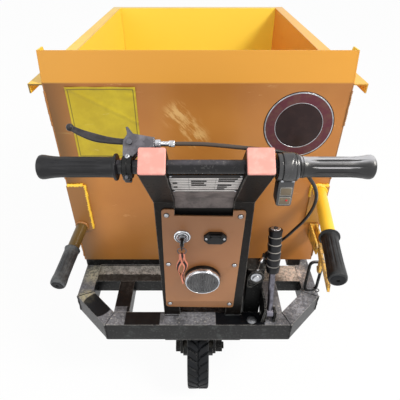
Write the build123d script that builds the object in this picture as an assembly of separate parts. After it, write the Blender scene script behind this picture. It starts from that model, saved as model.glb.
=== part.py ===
from build123d import *
import math
import os

# Walk-behind electric power barrow with a tipping hopper. All sizes are in millimetres.
# X runs to the operator's right, Y forward and Z up. Places are measured from the middle of the
# machine, from the rear face of the rear crossbar and from the ground. The finished pieces are then
# moved along Y, so that the origin lies on the ground under the middle of the whole machine.

# Clearances
RUNNING_FIT = 0.05          # radial gap of a shaft that turns in a bore
FIXED_FIT = 0.1             # gap round a fixed piece in its hole
REST_GAP = 0.3              # gap between pieces that meet at rest and then move apart
WORKING_GAP = 4.0           # gap between pieces that pass each other

# Rear caster
CASTER_WHEEL_R = 120.0
CASTER_TYRE_WIDTH = 60.0
CASTER_RIM_R = 75.0
CASTER_TRAIL = 25.0
CASTER_AXLE_Y = 94.0
CASTER_AXLE_R = 10.0
AXLE_HEAD = 14.0
AXLE_NUT = 20.0
AXLE_PROUD = 5.0            # bolt end past the nut
AXLE_FLATS = 32.0           # across the flats of the nut and the head
CASTER_LEG_GAP = 90.0       # inside width of the fork
CASTER_EYE_R = 24.0
CASTER_CROWN = (-50.0, 45.0)    # behind and ahead of the swivel
CASTER_HUB_GAP = 0.5        # between the hub and a leg
CASTER_BAND_IN = 4.0        # rim band inside the tyre's side
CASTER_WEB = 6.0            # half of the rim's web
CASTER_PLATE = 8.0          # thickness of the fork and of its top plate
CASTER_RACE = 14.0          # height of the swivel race
CASTER_RACE_R = 40.0
CASTER_HEADROOM = 20.0      # from the tyre to the fork crown
CASTER_PLATE_FRONT = 60.0   # the top plate ahead of the swivel
KINGPIN_R = 8.0
KINGPIN_BUSH = 4.0

# Frame tubes
TUBE_WIDTH = 40.0
TUBE_HEIGHT = 60.0
TUBE_WALL = 3.0
LOW_TUBE_HEIGHT = 40.0      # middle crossbar and stringers
FRAME_HALF_WIDTH = 327.0
REAR_BAR_HALF = 235.0       # half of the straight part of the rear crossbar
MIDDLE_BAR_Y = 145.0
MIDDLE_BAR_DEPTH = 60.0
FRONT_BAR_Y = 880.0
MITRE_IN = TUBE_WIDTH * math.tan(math.radians(22.5))
STRINGER_X = REAR_BAR_HALF - MITRE_IN - TUBE_WIDTH / 2      # beside the corner braces
FRAME_TOP = (2 * CASTER_WHEEL_R + CASTER_HEADROOM + CASTER_PLATE + CASTER_RACE + CASTER_PLATE
             + TUBE_HEIGHT)

# Hopper
HOPPER_REAR_Y = 195.0
HOPPER_HALF_WIDTH = 325.0
HOPPER_LENGTH = 952.0
HOPPER_DEPTH = 508.0
HOPPER_LIFT = 36.0          # floor above the frame
FRONT_UPRIGHT = 204.0       # height of the upright upper part of the front wall
SHEET = 3.0
FLOOR_SHEET = 4.0
BAND_HEIGHT = 64.0
BAND_LEAN = 12.0
GUSSET_TOP = 30.0
GUSSET_FOOT = 75.0
RIM_WIDTH = 30.0
RIM_LIP = 20.0
HOPPER_FLOOR_Z = FRAME_TOP + HOPPER_LIFT
HOPPER_RIM_Z = HOPPER_FLOOR_Z + HOPPER_DEPTH
HOPPER_FRONT_Y = HOPPER_REAR_Y + HOPPER_LENGTH

# Hopper hinge and rests
HINGE_PIN_R = 8.0
HINGE_PIN_HEAD = 6.0
HINGE_PIN_HEAD_R = 12.0
HINGE_EYE_R = 15.0
HINGE_EAR_WIDTH = 12.0
HINGE_LUG = 6.0
HINGE_SIDE_GAP = 8.0
HINGE_Y = FRONT_BAR_Y + TUBE_WIDTH / 2
HINGE_CLEARANCE = 2.0       # hinge eye above the crossbar
HINGE_Z = FRAME_TOP + HINGE_EYE_R + HINGE_CLEARANCE
CHUTE_START_Y = HINGE_Y + 5.0   # the chute starts just ahead of the hinge
BEARER_HEIGHT = 30.0
BEARER_DEPTH = 40.0
BEARER_END_X = STRINGER_X + TUBE_WIDTH / 2      # the long bearer stops at the right stringer
BLOCK_X = 262.0             # the short block stands on the right rail from here
BLOCK_WIDTH = 38.0
PAD_WIDTH = 60.0

# Drive axle and wheels
WHEEL_R = 200.0
WHEEL_WIDTH = 85.0
WHEEL_INNER_X = 340.0
WHEEL_RIM_R = 106.0
WHEEL_FLANGE = 4.0
AXLE_Y = 776.0
AXLE_TUBE_R = 30.0
AXLE_BORE_R = 20.0
AXLE_TUBE_END = 268.0
SHAFT_R = 12.5
GEAR_CASE_R = 75.0
GEAR_CASE_HALF = 60.0
GEAR_CASE_WALL = 10.0
MOTOR_R = 60.0
MOTOR_LENGTH = 160.0
MOTOR_GAP = 3.0
MOTOR_BELL = 30.0           # length of the motor's end bell
MOTOR_BELL_STEP = 6.0
DRUM_R = 72.0
DRUM_WALL = 6.0
DRUM_WIDTH = 44.0
HUB_FLANGE = 8.0
HUB_FLANGE_R = 50.0
SADDLE_DEPTH = 76.0
SHAFT_INSET = 2.0           # shaft end past the gear case's inner wall
SPIGOT_R = SHAFT_R + 1.5    # the shaft's shoulder in the wheel disc
RIM_INSET = 5.0             # rim flange inside the tyre's side
RIM_FLANGE_RISE = 12.0
DISC_JOIN = 0.3             # share of the width where the disc meets the barrel
DISC_EDGE = 10.0            # flat of the wheel disc past the hub flange

# Side of a tyre: share of the wall's height and of the half width
TYRE_BEAD = 0.14
TYRE_SIDE = ((0.32, 1.0), (0.86, 1.0), (0.96, 0.93), (1.0, 0.8))

# Batteries
BATTERY = (151.0, 99.0, 98.0)
BATTERY_GAP = 2.0
BATTERY_Y = 345.0
TRAY_SHEET = 3.0
TRAY_MARGIN = 15.0
TRAY_LIP = 40.0
TRAY_DROP = 98.0            # tray floor below the stringers
TERMINAL_R = 5.0
TERMINAL_HEIGHT = 8.0
TERMINAL_SHARES = (0.15, 0.85)      # across the battery's width

# Control column
COLUMN_X = 12.0             # the column stands a little right of the middle
POST = 40.0
POST_WALL = 3.0
POST_SPREAD = 156.0         # between the middles of the posts
POST_LEAN = 4.0             # degrees back from upright
POST_RISE = 385.0           # from the frame to the bend
POST_BEND_Y = 25.0
UPPER_LENGTH = 202.0
UPPER_ELEVATION = 47.6      # degrees above level
CAP_HEAD = 5.0
CAP_PLUG = 16.0
CAP_ROUND = 1.75
PANEL_WIDTH = 167.0
PANEL_HEIGHT = 323.0
PANEL_SHEET = 3.0
PANEL_BELOW_BEND = 24.0
PANEL_CORNER = 8.0
PANEL_TURN = -1.3           # degrees, the panel hangs slightly askew
NOTCH_DEPTH = 16.0
SCREW_R = 4.5
SCREW_HEAD = 2.5
SCREW_CROWN_R = 2.7
SCREW_INSET = (10.0, 15.0)  # from the panel's sides and ends
BOX_SHEET = 1.5
BOX_DEPTH = 108.0
BOX_SHORT = 10.0            # the box ends above the panel's lower edge
CONSOLE_START = 14.0        # along the upper posts from the bend
CONSOLE_END = 163.0         # just below the bar
CONSOLE_SHEET = 2.0
CONSOLE_RECESS = 8.0        # behind the operator's face of the posts
CONTROLLER = (84.0, 150.0, 46.0)
CONTROLLER_FINS = 6
FIN_DEPTH = 14.0

# On the panel: places are across from the middle and up from the bend along the lower posts
KEY_FROM_POST = 15.5        # middle of the key from the left post's inner face
KEY_PLACE = (KEY_FROM_POST - (POST_SPREAD - POST) / 2, -96.5)
SWITCH_FLANGE_R = 18.0
SWITCH_FLANGE = 5.0
SWITCH_BEVEL = 2.0
SWITCH_BARREL_R = 11.0
SWITCH_BARREL = 34.0
KEY_CORE_R = 6.5
KEY_CORE = 12.0
KEY_STANDOFF = 6.0
KEY_FACE = SWITCH_FLANGE + 1.0  # the core's face, proud of the switch
KEY_ROOT = 4.0              # how far the key's shank goes on into its bow
KEY_BOW = (22.0, 24.0)
KEY_THICK = 2.4
KEY_HOLE_R = 2.8
KEY_HOLE_INSET = 5.5
KEY_HOLE_SHARE = 0.7        # along the bow
KEY_BOW_ROUND = 7.7
FOB = (14.0, 96.0, 2.5)
FOB_HOLE_R = 1.6
RING_R = 9.0
RING_WIRE_R = 1.0
SOCKET_PLACE = (26.0, -98.0)
SOCKET_WIDTH = 47.0
SOCKET_HEIGHT = 31.0
SOCKET_FLANGE = 6.0
SOCKET_CORNER = 10.0
SOCKET_MOUTH = (20.0, 14.0)
SOCKET_DEPTH = 18.0
SOCKET_WALL = 2.5
SOCKET_PIN = (2.0, 5.0)
SOCKET_PIN_PLACES = ((-5.5, -2.0), (0.0, 2.5), (5.5, -2.0))
SOCKET_PIN_RECESS = 2.0     # pin ends behind the panel
FLAP_WIDTH = 23.0
FLAP_HEIGHT = 19.0
FLAP_THICK = 4.0
FLAP_CORNER = 4.0
FLAP_HINGE_R = 2.5
FLAP_NECK_IN = 0.5          # the flap's neck is thinner by this on each face
KNUCKLE = 3.0
LAMP_PLACE = (3.5, -229.0)
LAMP_R = 41.0
LAMP_PROUD = 18.0
LAMP_BOWL_R = 33.0
LAMP_BOWL_DEPTH = 22.0
LAMP_WALL = 2.0
LAMP_FLOOR_R = 17.5
LAMP_BOWL_BEND = 8.5        # depth where the bowl turns in
LENS_THICK = 4.0
LENS_CROWN = 3.0
LENS_BEND_R = 20.0
LAMP_BEVEL = 3.0

# Handlebar
BAR_R = 11.0
BAR_WALL = 1.8
BAR_HALF = 245.0
BAR_FROM_END = 26.0         # from the top of the posts
GRIP_START = 138.0          # throttle grip, from the middle of the column
LEFT_GRIP_START = 132.0
GRIP_R = 15.5               # at the waist
GRIP_FLARE_R = 18.5         # at the outer end
GRIP_FLARE = 32.0           # length of the flare
GRIP_EDGE = 4.0             # rounding at the outer end
GRIP_COLLAR_R = 16.5        # inner end of the throttle grip
GRIP_FLANGE_R = 20.5
GRIP_FLANGE = 4.0
GRIP_STEP = 2.0             # slope behind a flange
GRIP_END = 4.0
THROTTLE_START = 105.0
THROTTLE_R = 22.5
POD_WIDTH = 24.0
POD_DEPTH = 30.0
POD_DROP = 62.0             # from the bar to the bottom of the pod
POD_RADIUS = 4.0
POD_JOIN = 0.7              # share of the housing's radius where the pod joins
POD_OVERLAP = 2.0
THROTTLE_BEVEL = 3.0

# Brake lever: places across the bar and forward-up from it
LEVER_TILT = 45.0
PERCH_CLAMP = (-124.0, -109.0)
PERCH_CLAMP_R = 17.0
PERCH_THICK = 16.0
LEVER_PIVOT = (-114.0, 36.0)
LEVER_PIN_R = 3.0
LEVER_PIN_PROUD = 1.0
LEVER_THICK = 6.0
LEVER_EYE_R = 8.0
LEVER_TIP = (-207.0, 62.0)
LEVER_BALL_R = 6.0
LEVER_OUTER = ((5.0, 2.0), (6.0, 8.0), (-2.0, 11.0), (-12.0, 9.5), (-31.0, 9.5), (-54.0, 13.5), (-76.0, 20.5))
LEVER_INNER = ((-76.0, 14.5), (-54.0, 6.0), (-31.0, 1.0), (-12.0, -3.0), (2.0, -5.0))   # both from the pivot
PERCH_FOOT = 12.0           # the arm starts inside the clamp's ring
ADJUSTER_START = -77.0
ADJUSTER_OFFSET = POST / 2 + 16.0
PERCH_LOW = POST / 2 + WORKING_GAP      # underside of the arm, past the post's cap
HORN = ((-117.0, 48.0), (-121.0, 60.0), (-117.5, 61.0), (-110.0, 48.5))
LEVER_SLOT = (19.0, 47.5, 66.0)     # low edge, high edge at the root and high edge at the mouth
SLOT_REACH = (16.0, 6.0)    # the slot past the clamp's left and right ends
ADJUSTER_STEPS = ((6.5, 9.0), (4.2, 12.0), (5.0, 9.0))    # radius and length of each step

# Brake cable: the outer tube's route, chosen by hand, and the inner wire
CABLE_R = 3.25
WIRE_R = 0.9
WIRE_AWAY = 2.0             # the wire's end from the crank's pivot
CABLE_PLACES = [            # across, forward, and up from the top of the frame
    (-34.8, -68.1, 540.4), (0.0, -67.5, 540.4), (36.0, -69.0, 538.0), (72.0, -71.5, 535.0),
    (106.0, -70.0, 531.0), (136.0, -62.0, 522.0), (163.0, -56.5, 506.0), (183.8, -46.0, 469.4),
    (208.0, -26.0, 433.9), (224.2, -3.0, 393.6), (229.9, 21.0, 348.2), (227.0, 44.0, 301.3),
    (214.5, 66.0, 254.0), (206.0, 82.0, 220.0), (190.9, 97.1, 186.0), (175.3, 91.5, 171.1),
    (150.5, 60.2, 163.0)]
CABLE_ROUTE = [(x, y, FRAME_TOP + rise) for x, y, rise in CABLE_PLACES]
CORNER_SHARE = 0.45         # share of a run that each corner's arc may use

# Brake post and crank
BRAKE_POST_GAP = 7.0        # from the right post of the column
BRAKE_POST_X = COLUMN_X + POST_SPREAD / 2 + POST / 2 + BRAKE_POST_GAP + TUBE_WIDTH / 2
BRAKE_POST_RISE = 155.0
CRANK_RISE = 141.0
CRANK_R = 20.0
CRANK_THICK = 6.0
CRANK_BOLT_R = 9.5
CRANK_BOLT_HEAD = 8.0
CRANK_BOLT_CROWN_R = 6.5
CRANK_STUB_R = 6.0
CRANK_ARM = (-12.0, -28.0)  # place of the rod hole from the bolt
CRANK_ARM_R = 8.0
STOP_SHEET = 4.0
STOP_CLAMP = 12.0
STOP_HALF = 6.0             # half the height of the clamp
STOP_FOOT = (8.0, 28.0)     # the arm's foot on the post, from its rear face
STOP_FOOT_DROP = 60.0

# Parking brake
PARK_FROM_POST = 23.0       # middle of the lever past the brake post
PARK_X = BRAKE_POST_X + TUBE_WIDTH / 2 + PARK_FROM_POST
PARK_Y = TUBE_WIDTH / 2 + 2.0
PARK_RISE = 22.0
PARK_LEAN = 16.0            # degrees forward at rest
PARK_EYE_R = 11.0
PARK_EYE_WIDTH = 17.0
PARK_PIN_R = 5.0
PARK_LUG = 5.0
PARK_LUG_R = 14.0
PARK_ROD_R = 7.5
PARK_ROD_END = 209.0
PARK_GRIP_START = 117.0
PARK_GRIP_END = 231.0
PARK_GRIP_R = 14.0
PARK_GRIP_EDGE = 3.0
PARK_GRIP_ROOF = 9.0        # rubber over the button's shoulder
PARK_RINGS = 5
PARK_RING_GROOVE = 1.5
PARK_RING_HALF = (2.0, 1.0)     # half width of a groove at its top and at its floor
PARK_BUTTON_R = 5.0
PARK_BUTTON_PROUD = 9.0
PARK_BUTTON_TRAVEL = 5.0
PARK_BUTTON_SHOULDER = 1.5
PARK_BUTTON_BEVEL = 2.0
PARK_SIDE_GAP = 1.0         # between the lever's eye and a lug
PARK_PIN_PROUD = 3.0
SECTOR_R = 62.0
SECTOR_TEETH = 12
SECTOR_TOOTH = 4.0
SECTOR_SPAN = (35.0, 125.0)     # degrees up from forward
SECTOR_FROM_LEVER = 22.0    # sector's near face to the middle of the lever
SECTOR_SHEET = 5.0

# Latch hoop and latch
HOOP_R = 4.0
HOOP_Y = 112.0
HOOP_RISE = 109.0
HOOP_CORNER = 12.0
LATCH_X = 308.0
LATCH_Y = 121.0
LATCH_RISE = 150.0
LATCH_SHEET = 6.0
LATCH_PIN_R = 5.0
LATCH_EYE_R = 13.0
LATCH_RELEASED = 8.0        # degrees from hooked to free
LATCH_HOLD = 2.0            # how far the nose reaches under the hoop
LATCH_TONGUE = 14.0
CHEEK = 4.0
CHEEK_GAP = 3.0
TRIGGER_END = (265.0, -74.0, 187.0)     # hooked place, height above the frame
TRIGGER_THICK = 5.0
TRIGGER_HEIGHT = 16.0
BRACKET_TOP = 20.0          # latch bracket above and below its pin at the wall
BRACKET_LOW = 22.0
BRACKET_NOSE = (9.0, 8.0, 14.0)     # reach behind the pin, and its corners up and down
LATCH_PIN_PROUD = 3.0
NOSE_DROP = 3.0             # nose below the hoop
NOSE_THICK = 3.0
NOSE_ROOT = 12.0
HEEL = (4.0, 6.0)           # cut corner at the back of the hook

# Tipping handles
HANDLE_R = 14.5
HANDLE_WALL = 2.5
HANDLE_PLATE = (44.0, 6.0)
PLATE_TOP_RISE = 292.0
LEFT_PLATE_FOOT_RISE = 150.0
RIGHT_PLATE_FOOT_RISE = 178.0
HANDLE_GRIP_R = 18.5
HANDLE_GRIP_LENGTH = 118.0
HANDLE_FLANGE_R = (19.5, 22.5)  # left, right
LEFT_HANDLE = ((-308.0, 165.0), 178.0, (-6.0, -10.0))   # foot (x, height), length, degrees out and up
RIGHT_HANDLE = ((303.0, 277.0), 284.0, (-8.0, -1.5))

# Derived places
AXIS_UP = Plane.XY
SWIVEL_Y = CASTER_AXLE_Y + CASTER_TRAIL
FRAME_BOTTOM = FRAME_TOP - TUBE_HEIGHT
CASTER_PLATE_Z = FRAME_BOTTOM - CASTER_PLATE
CROWN_TOP = CASTER_PLATE_Z - CASTER_RACE
RAIL_INNER = FRAME_HALF_WIDTH - TUBE_WIDTH
FRAME_FRONT = FRONT_BAR_Y + TUBE_WIDTH
CORNER_RUN = FRAME_HALF_WIDTH - REAR_BAR_HALF
BEARER_GAP = 2.0            # between the middle crossbar and the hopper's bearer
BEARER_Y = MIDDLE_BAR_Y + MIDDLE_BAR_DEPTH + BEARER_GAP
BEND = Vector(0, POST_BEND_Y, FRAME_TOP + POST_RISE)
LOWER_UP = Vector(0, -math.sin(math.radians(POST_LEAN)), math.cos(math.radians(POST_LEAN)))
UPPER_UP = Vector(0, -math.cos(math.radians(UPPER_ELEVATION)), math.sin(math.radians(UPPER_ELEVATION)))
LOWER_REAR = Vector(0, -LOWER_UP.Z, LOWER_UP.Y)
UPPER_REAR = Vector(0, -UPPER_UP.Z, UPPER_UP.Y)
BAR = BEND + UPPER_UP * (UPPER_LENGTH - BAR_FROM_END)
POST_END = BEND + UPPER_UP * UPPER_LENGTH
ACROSS = (1, 0, 0)
LOWER_PLANE = Plane(origin=(COLUMN_X, BEND.Y, BEND.Z), x_dir=ACROSS, z_dir=LOWER_REAR)
TURN = math.radians(PANEL_TURN)
PANEL_ACROSS = Vector(*ACROSS) * math.cos(TURN) + LOWER_UP * math.sin(TURN)
PANEL_PLANE = Plane(origin=LOWER_PLANE.origin, x_dir=PANEL_ACROSS, z_dir=LOWER_REAR)
CONSOLE_PLANE = Plane(origin=(COLUMN_X, BEND.Y, BEND.Z), x_dir=ACROSS, z_dir=UPPER_REAR)
BAR_FRAME = Plane(origin=(COLUMN_X, BAR.Y, BAR.Z), x_dir=(0, 1, 0), z_dir=ACROSS)
TILT = math.radians(LEVER_TILT)
LEVER_FACE = Vector(0, -math.sin(TILT), math.cos(TILT))
LEVER_PLANE = Plane(origin=(COLUMN_X, BAR.Y, BAR.Z), x_dir=ACROSS, z_dir=LEVER_FACE)
PARK_PIVOT = Vector(PARK_X, PARK_Y, FRAME_TOP + PARK_RISE)
PARK_UP = Vector(0, math.sin(math.radians(PARK_LEAN)), math.cos(math.radians(PARK_LEAN)))
PARK_FRAME = Plane(origin=PARK_PIVOT, x_dir=ACROSS, z_dir=PARK_UP)
LATCH_PIVOT = Vector(LATCH_X, LATCH_Y, FRAME_TOP + LATCH_RISE)
CRANK_PIVOT = Vector(BRAKE_POST_X, TUBE_WIDTH, FRAME_TOP + CRANK_RISE)
MOTOR_Y = AXLE_Y - GEAR_CASE_R - MOTOR_R - MOTOR_GAP
FRONT_END = HOPPER_FRONT_Y + RIM_WIDTH


# Shape helpers

def prism(points, plane, start, end):
    """A polygon on a plane, thickened along the plane's normal from start to end."""
    outline = make_face(Polyline(*points, close=True))
    return extrude(plane.offset(start) * outline, amount=end - start, dir=plane.z_dir)


def block(x, y, z):
    """A box from its low and high places along each axis."""
    spans = (x, y, z)
    middle = [(low + high) / 2 for low, high in spans]
    size = [high - low for low, high in spans]
    return Pos(*middle) * Box(*size)


def rod(start, end, radius):
    """A round bar between two points."""
    axis = Vector(*end) - Vector(*start)
    bar = Cylinder(radius, axis.length, align=(Align.CENTER, Align.CENTER, Align.MIN))
    return Plane(origin=start, z_dir=axis) * bar


def lathe(points, frame):
    """An outline of (radius, height) points turned about the frame's axis."""
    outline = make_face(Plane.XZ * Polyline(*points, close=True))
    return frame * revolve(outline, axis=Axis.Z)


def strip(start, end, thick, height):
    """A flat bar between two points, with its height as upright as its direction allows."""
    axis = Vector(*end) - Vector(*start)
    sideways = axis.cross(Vector(0, 0, 1))
    bar = Box(thick, height, axis.length, align=(Align.CENTER, Align.CENTER, Align.MIN))
    return Plane(origin=start, x_dir=sideways, z_dir=axis) * bar


def hex_bar(start, end, width):
    """A hexagonal bar, measured across its flats, between two points."""
    axis = Vector(*end) - Vector(*start)
    plane = Plane(origin=start, z_dir=axis)
    section = plane * RegularPolygon(width / 2, 6, major_radius=False)
    return extrude(section, amount=axis.length, dir=plane.z_dir)


def rectangle(half, low, high):
    """The corners of an upright rectangle about the middle line of a plane."""
    return [(-half, low), (half, low), (half, high), (-half, high)]


def across_frame(x, y, z):
    """A frame at a point whose axis runs across the machine."""
    return Plane(origin=(x, y, z), x_dir=(0, 1, 0), z_dir=ACROSS)


def mirrored(shape):
    """The same piece on the other side of the machine."""
    return mirror(shape, about=Plane.YZ)


def between(start, end, share):
    """A plan point part of the way from start to end."""
    return tuple(a + (b - a) * share for a, b in zip(start, end))


def mitred_tube(outer_a, outer_b, inner_b, inner_a, top, height, width=TUBE_WIDTH):
    """A level box tube from the four corners of its plan, open at its mitred ends."""
    share = TUBE_WALL / width
    skin = prism([outer_a, outer_b, inner_b, inner_a], AXIS_UP, top - height, top)
    bore_plan = [between(outer_a, inner_a, share), between(outer_b, inner_b, share),
                 between(outer_b, inner_b, 1 - share), between(outer_a, inner_a, 1 - share)]
    return skin - prism(bore_plan, AXIS_UP, top - height + TUBE_WALL, top - TUBE_WALL)


def straight_tube(x, y, top, height, along_x):
    """A level box tube with square ends, running along X or along Y."""
    if along_x:
        corners = [(x[0], y[0]), (x[1], y[0]), (x[1], y[1]), (x[0], y[1])]
        return mitred_tube(*corners, top, height, y[1] - y[0])
    corners = [(x[0], y[0]), (x[0], y[1]), (x[1], y[1]), (x[1], y[0])]
    return mitred_tube(*corners, top, height, x[1] - x[0])


def folded_sheet(points, thickness):
    """The closed outline of a folded sheet, from its outer line and the same line moved to its left."""
    line = [Vector(*point) for point in points]
    steps = [(b - a).normalized() for a, b in zip(line, line[1:])]
    lefts = [Vector(-step.Y, step.X) for step in steps]
    shifts = [lefts[0]]
    for before, after in zip(lefts, lefts[1:]):
        shifts.append((before + after) / (1 + before.dot(after)))
    shifts.append(lefts[-1])
    inner = [point + shift * thickness for point, shift in zip(line, shifts)]
    return [(point.X, point.Y) for point in line + inner[::-1]]


# Frame

def rear_loop():
    """Rear crossbar and the two corner braces, mitred together."""
    rear = [(-REAR_BAR_HALF, 0), (REAR_BAR_HALF, 0),
            (REAR_BAR_HALF - MITRE_IN, TUBE_WIDTH), (MITRE_IN - REAR_BAR_HALF, TUBE_WIDTH)]
    brace = [(REAR_BAR_HALF, 0), (FRAME_HALF_WIDTH, CORNER_RUN),
             (RAIL_INNER, CORNER_RUN + MITRE_IN), (REAR_BAR_HALF - MITRE_IN, TUBE_WIDTH)]
    right = mitred_tube(*brace, FRAME_TOP, TUBE_HEIGHT)
    return [mitred_tube(*rear, FRAME_TOP, TUBE_HEIGHT), right, mirrored(right)]


def side_rails():
    rail = [(FRAME_HALF_WIDTH, CORNER_RUN), (FRAME_HALF_WIDTH, FRAME_FRONT),
            (RAIL_INNER, FRAME_FRONT), (RAIL_INNER, CORNER_RUN + MITRE_IN)]
    right = mitred_tube(*rail, FRAME_TOP, TUBE_HEIGHT)
    return [mirrored(right), right]


def middle_crossbar():
    depth = (MIDDLE_BAR_Y, MIDDLE_BAR_Y + MIDDLE_BAR_DEPTH)
    return straight_tube((-RAIL_INNER, RAIL_INNER), depth, FRAME_TOP, LOW_TUBE_HEIGHT, True)


def front_crossbar():
    depth = (FRONT_BAR_Y, FRAME_FRONT)
    return straight_tube((-RAIL_INNER, RAIL_INNER), depth, FRAME_TOP, TUBE_HEIGHT, True)


def stringers():
    """Two short stringers behind the middle crossbar, two long ones in front of it."""
    side = (STRINGER_X - TUBE_WIDTH / 2, STRINGER_X + TUBE_WIDTH / 2)
    runs = [(TUBE_WIDTH, MIDDLE_BAR_Y), (MIDDLE_BAR_Y + MIDDLE_BAR_DEPTH, FRONT_BAR_Y)]
    right = [straight_tube(side, run, FRAME_TOP, LOW_TUBE_HEIGHT, False) for run in runs]
    return right + [mirrored(tube) for tube in right]


def column_bearers():
    """Short tubes that carry the posts and the caster plate."""
    tubes = []
    for sign in (-1, 1):
        middle = COLUMN_X + sign * POST_SPREAD / 2
        side = (middle - TUBE_WIDTH / 2, middle + TUBE_WIDTH / 2)
        tubes.append(straight_tube(side, (TUBE_WIDTH, MIDDLE_BAR_Y), FRAME_TOP, TUBE_HEIGHT, False))
    return tubes


def hopper_bearers():
    """A long tube and a short block under the rear of the hopper."""
    depth = (BEARER_Y, BEARER_Y + BEARER_DEPTH)
    top = FRAME_TOP + BEARER_HEIGHT
    long_tube = straight_tube((-FRAME_HALF_WIDTH, BEARER_END_X), depth, top, BEARER_HEIGHT, True)
    short_tube = straight_tube((BLOCK_X, BLOCK_X + BLOCK_WIDTH), depth, top, BEARER_HEIGHT, True)
    return [long_tube, short_tube]


def rest_pads():
    """Rubber pads between the bearers and the hopper floor."""
    depth = (BEARER_Y + TUBE_WALL, BEARER_Y + BEARER_DEPTH - TUBE_WALL)
    height = (FRAME_TOP + BEARER_HEIGHT, HOPPER_FLOOR_Z - REST_GAP)
    left = -FRAME_HALF_WIDTH + TUBE_WIDTH
    return [block((left, left + PAD_WIDTH), depth, height),
            block((BEARER_END_X - PAD_WIDTH, BEARER_END_X), depth, height),
            block((BLOCK_X, BLOCK_X + BLOCK_WIDTH), depth, height)]


def latch_hoop():
    """A closed loop of round rod standing on the right rail."""
    low = FRAME_TOP + HOOP_R
    high = FRAME_TOP + HOOP_RISE
    left = RAIL_INNER + HOOP_R
    right = FRAME_HALF_WIDTH - HOOP_R
    corners = [(left, HOOP_Y, low), (left, HOOP_Y, high), (right, HOOP_Y, high), (right, HOOP_Y, low)]
    path = FilletPolyline(*corners, radius=HOOP_CORNER, close=True)
    return sweep(Plane(path @ 0, z_dir=path % 0) * Circle(HOOP_R), path=path)


def hinge_lugs():
    """Two pairs of plates on the front crossbar."""
    outline = [(HINGE_Y - HINGE_EYE_R, FRAME_TOP), (HINGE_Y + HINGE_EYE_R, FRAME_TOP),
               (HINGE_Y + HINGE_EYE_R, HINGE_Z), (HINGE_Y - HINGE_EYE_R, HINGE_Z)]
    near = HINGE_EAR_WIDTH / 2 + HINGE_SIDE_GAP
    plates = []
    for side in (-STRINGER_X, STRINGER_X):
        for start in (side - near - HINGE_LUG, side + near):
            low = (start, HINGE_Y, HINGE_Z)
            high = (start + HINGE_LUG, HINGE_Y, HINGE_Z)
            plate = prism(outline, Plane.YZ, start, start + HINGE_LUG) + rod(low, high, HINGE_EYE_R)
            plates.append(plate - rod(low, high, HINGE_PIN_R + FIXED_FIT))
    return plates


def hinge_pins():
    reach = HINGE_EAR_WIDTH / 2 + HINGE_SIDE_GAP + HINGE_LUG
    end = reach + HINGE_PIN_HEAD
    pins = []
    for side in (-STRINGER_X, STRINGER_X):
        pin = [(0, -end), (HINGE_PIN_HEAD_R, -end), (HINGE_PIN_HEAD_R, -reach), (HINGE_PIN_R, -reach),
               (HINGE_PIN_R, end), (0, end)]
        pins.append(lathe(pin, across_frame(side, HINGE_Y, HINGE_Z)))
    return pins


# Control column

def post_outline(half):
    """The side view of a bent post, half its width to each side of its middle line."""
    def foot(offset):
        start = BEND + LOWER_REAR * offset
        return start - LOWER_UP * ((start.Z - FRAME_TOP) / LOWER_UP.Z)

    def bend(offset):
        return BEND + (LOWER_REAR + UPPER_REAR) * (offset / (1 + LOWER_REAR.dot(UPPER_REAR)))

    def end(offset):
        return POST_END + UPPER_REAR * offset

    points = [foot(half), bend(half), end(half), end(-half), bend(-half), foot(-half)]
    return [(point.Y, point.Z) for point in points]


def column_posts():
    posts = []
    hole = rod((-BAR_HALF, BAR.Y, BAR.Z), (BAR_HALF, BAR.Y, BAR.Z), BAR_R + FIXED_FIT)
    for sign in (-1, 1):
        middle = COLUMN_X + sign * POST_SPREAD / 2
        skin = prism(post_outline(POST / 2), Plane.YZ, middle - POST / 2, middle + POST / 2)
        inside = POST / 2 - POST_WALL
        bore = prism(post_outline(inside), Plane.YZ, middle - inside, middle + inside)
        posts.append(skin - bore - hole)
    return posts


def post_caps():
    caps = []
    plug_size = POST - 2 * POST_WALL - 2 * FIXED_FIT
    bar_room = rod((-BAR_HALF, BAR.Y, BAR.Z), (BAR_HALF, BAR.Y, BAR.Z), BAR_R + FIXED_FIT)
    for sign in (-1, 1):
        middle = COLUMN_X + sign * POST_SPREAD / 2
        plane = Plane(origin=(middle, POST_END.Y, POST_END.Z), x_dir=ACROSS, z_dir=UPPER_UP)
        head = extrude(plane * RectangleRounded(POST, POST, POST_WALL), amount=CAP_HEAD, dir=plane.z_dir)
        head = fillet(head.faces().sort_by(Axis(POST_END, UPPER_UP))[-1].edges(), CAP_ROUND)
        section = plane * RectangleRounded(plug_size, plug_size, POST_WALL)
        plug = extrude(section, amount=-CAP_PLUG, dir=plane.z_dir)
        caps.append(head + plug - bar_room)
    return caps


def console_and_box():
    """The sheet box behind the panel and the sloped plate between the upper posts."""
    inside = (POST_SPREAD - POST) / 2 - FIXED_FIT
    top = -PANEL_BELOW_BEND - NOTCH_DEPTH
    low = -PANEL_BELOW_BEND - PANEL_HEIGHT + BOX_SHORT
    back = POST / 2 - BOX_DEPTH
    shell = prism(rectangle(inside, low, top), LOWER_PLANE, back, POST / 2)
    hollow = rectangle(inside - BOX_SHEET, low + BOX_SHEET, top - BOX_SHEET)
    shell -= prism(hollow, LOWER_PLANE, back + BOX_SHEET, POST / 2)
    face = POST / 2 - CONSOLE_RECESS
    plate = rectangle(inside + FIXED_FIT, CONSOLE_START, CONSOLE_END)
    return [shell, prism(plate, CONSOLE_PLANE, face - CONSOLE_SHEET, face)]


def panel_screw_places():
    side, end = SCREW_INSET
    across = PANEL_WIDTH / 2 - side
    top = -PANEL_BELOW_BEND - end
    low = -PANEL_BELOW_BEND - PANEL_HEIGHT + end
    return [(sign * across, up) for up in (top, (top + low) / 2, low) for sign in (-1, 1)]


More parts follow.
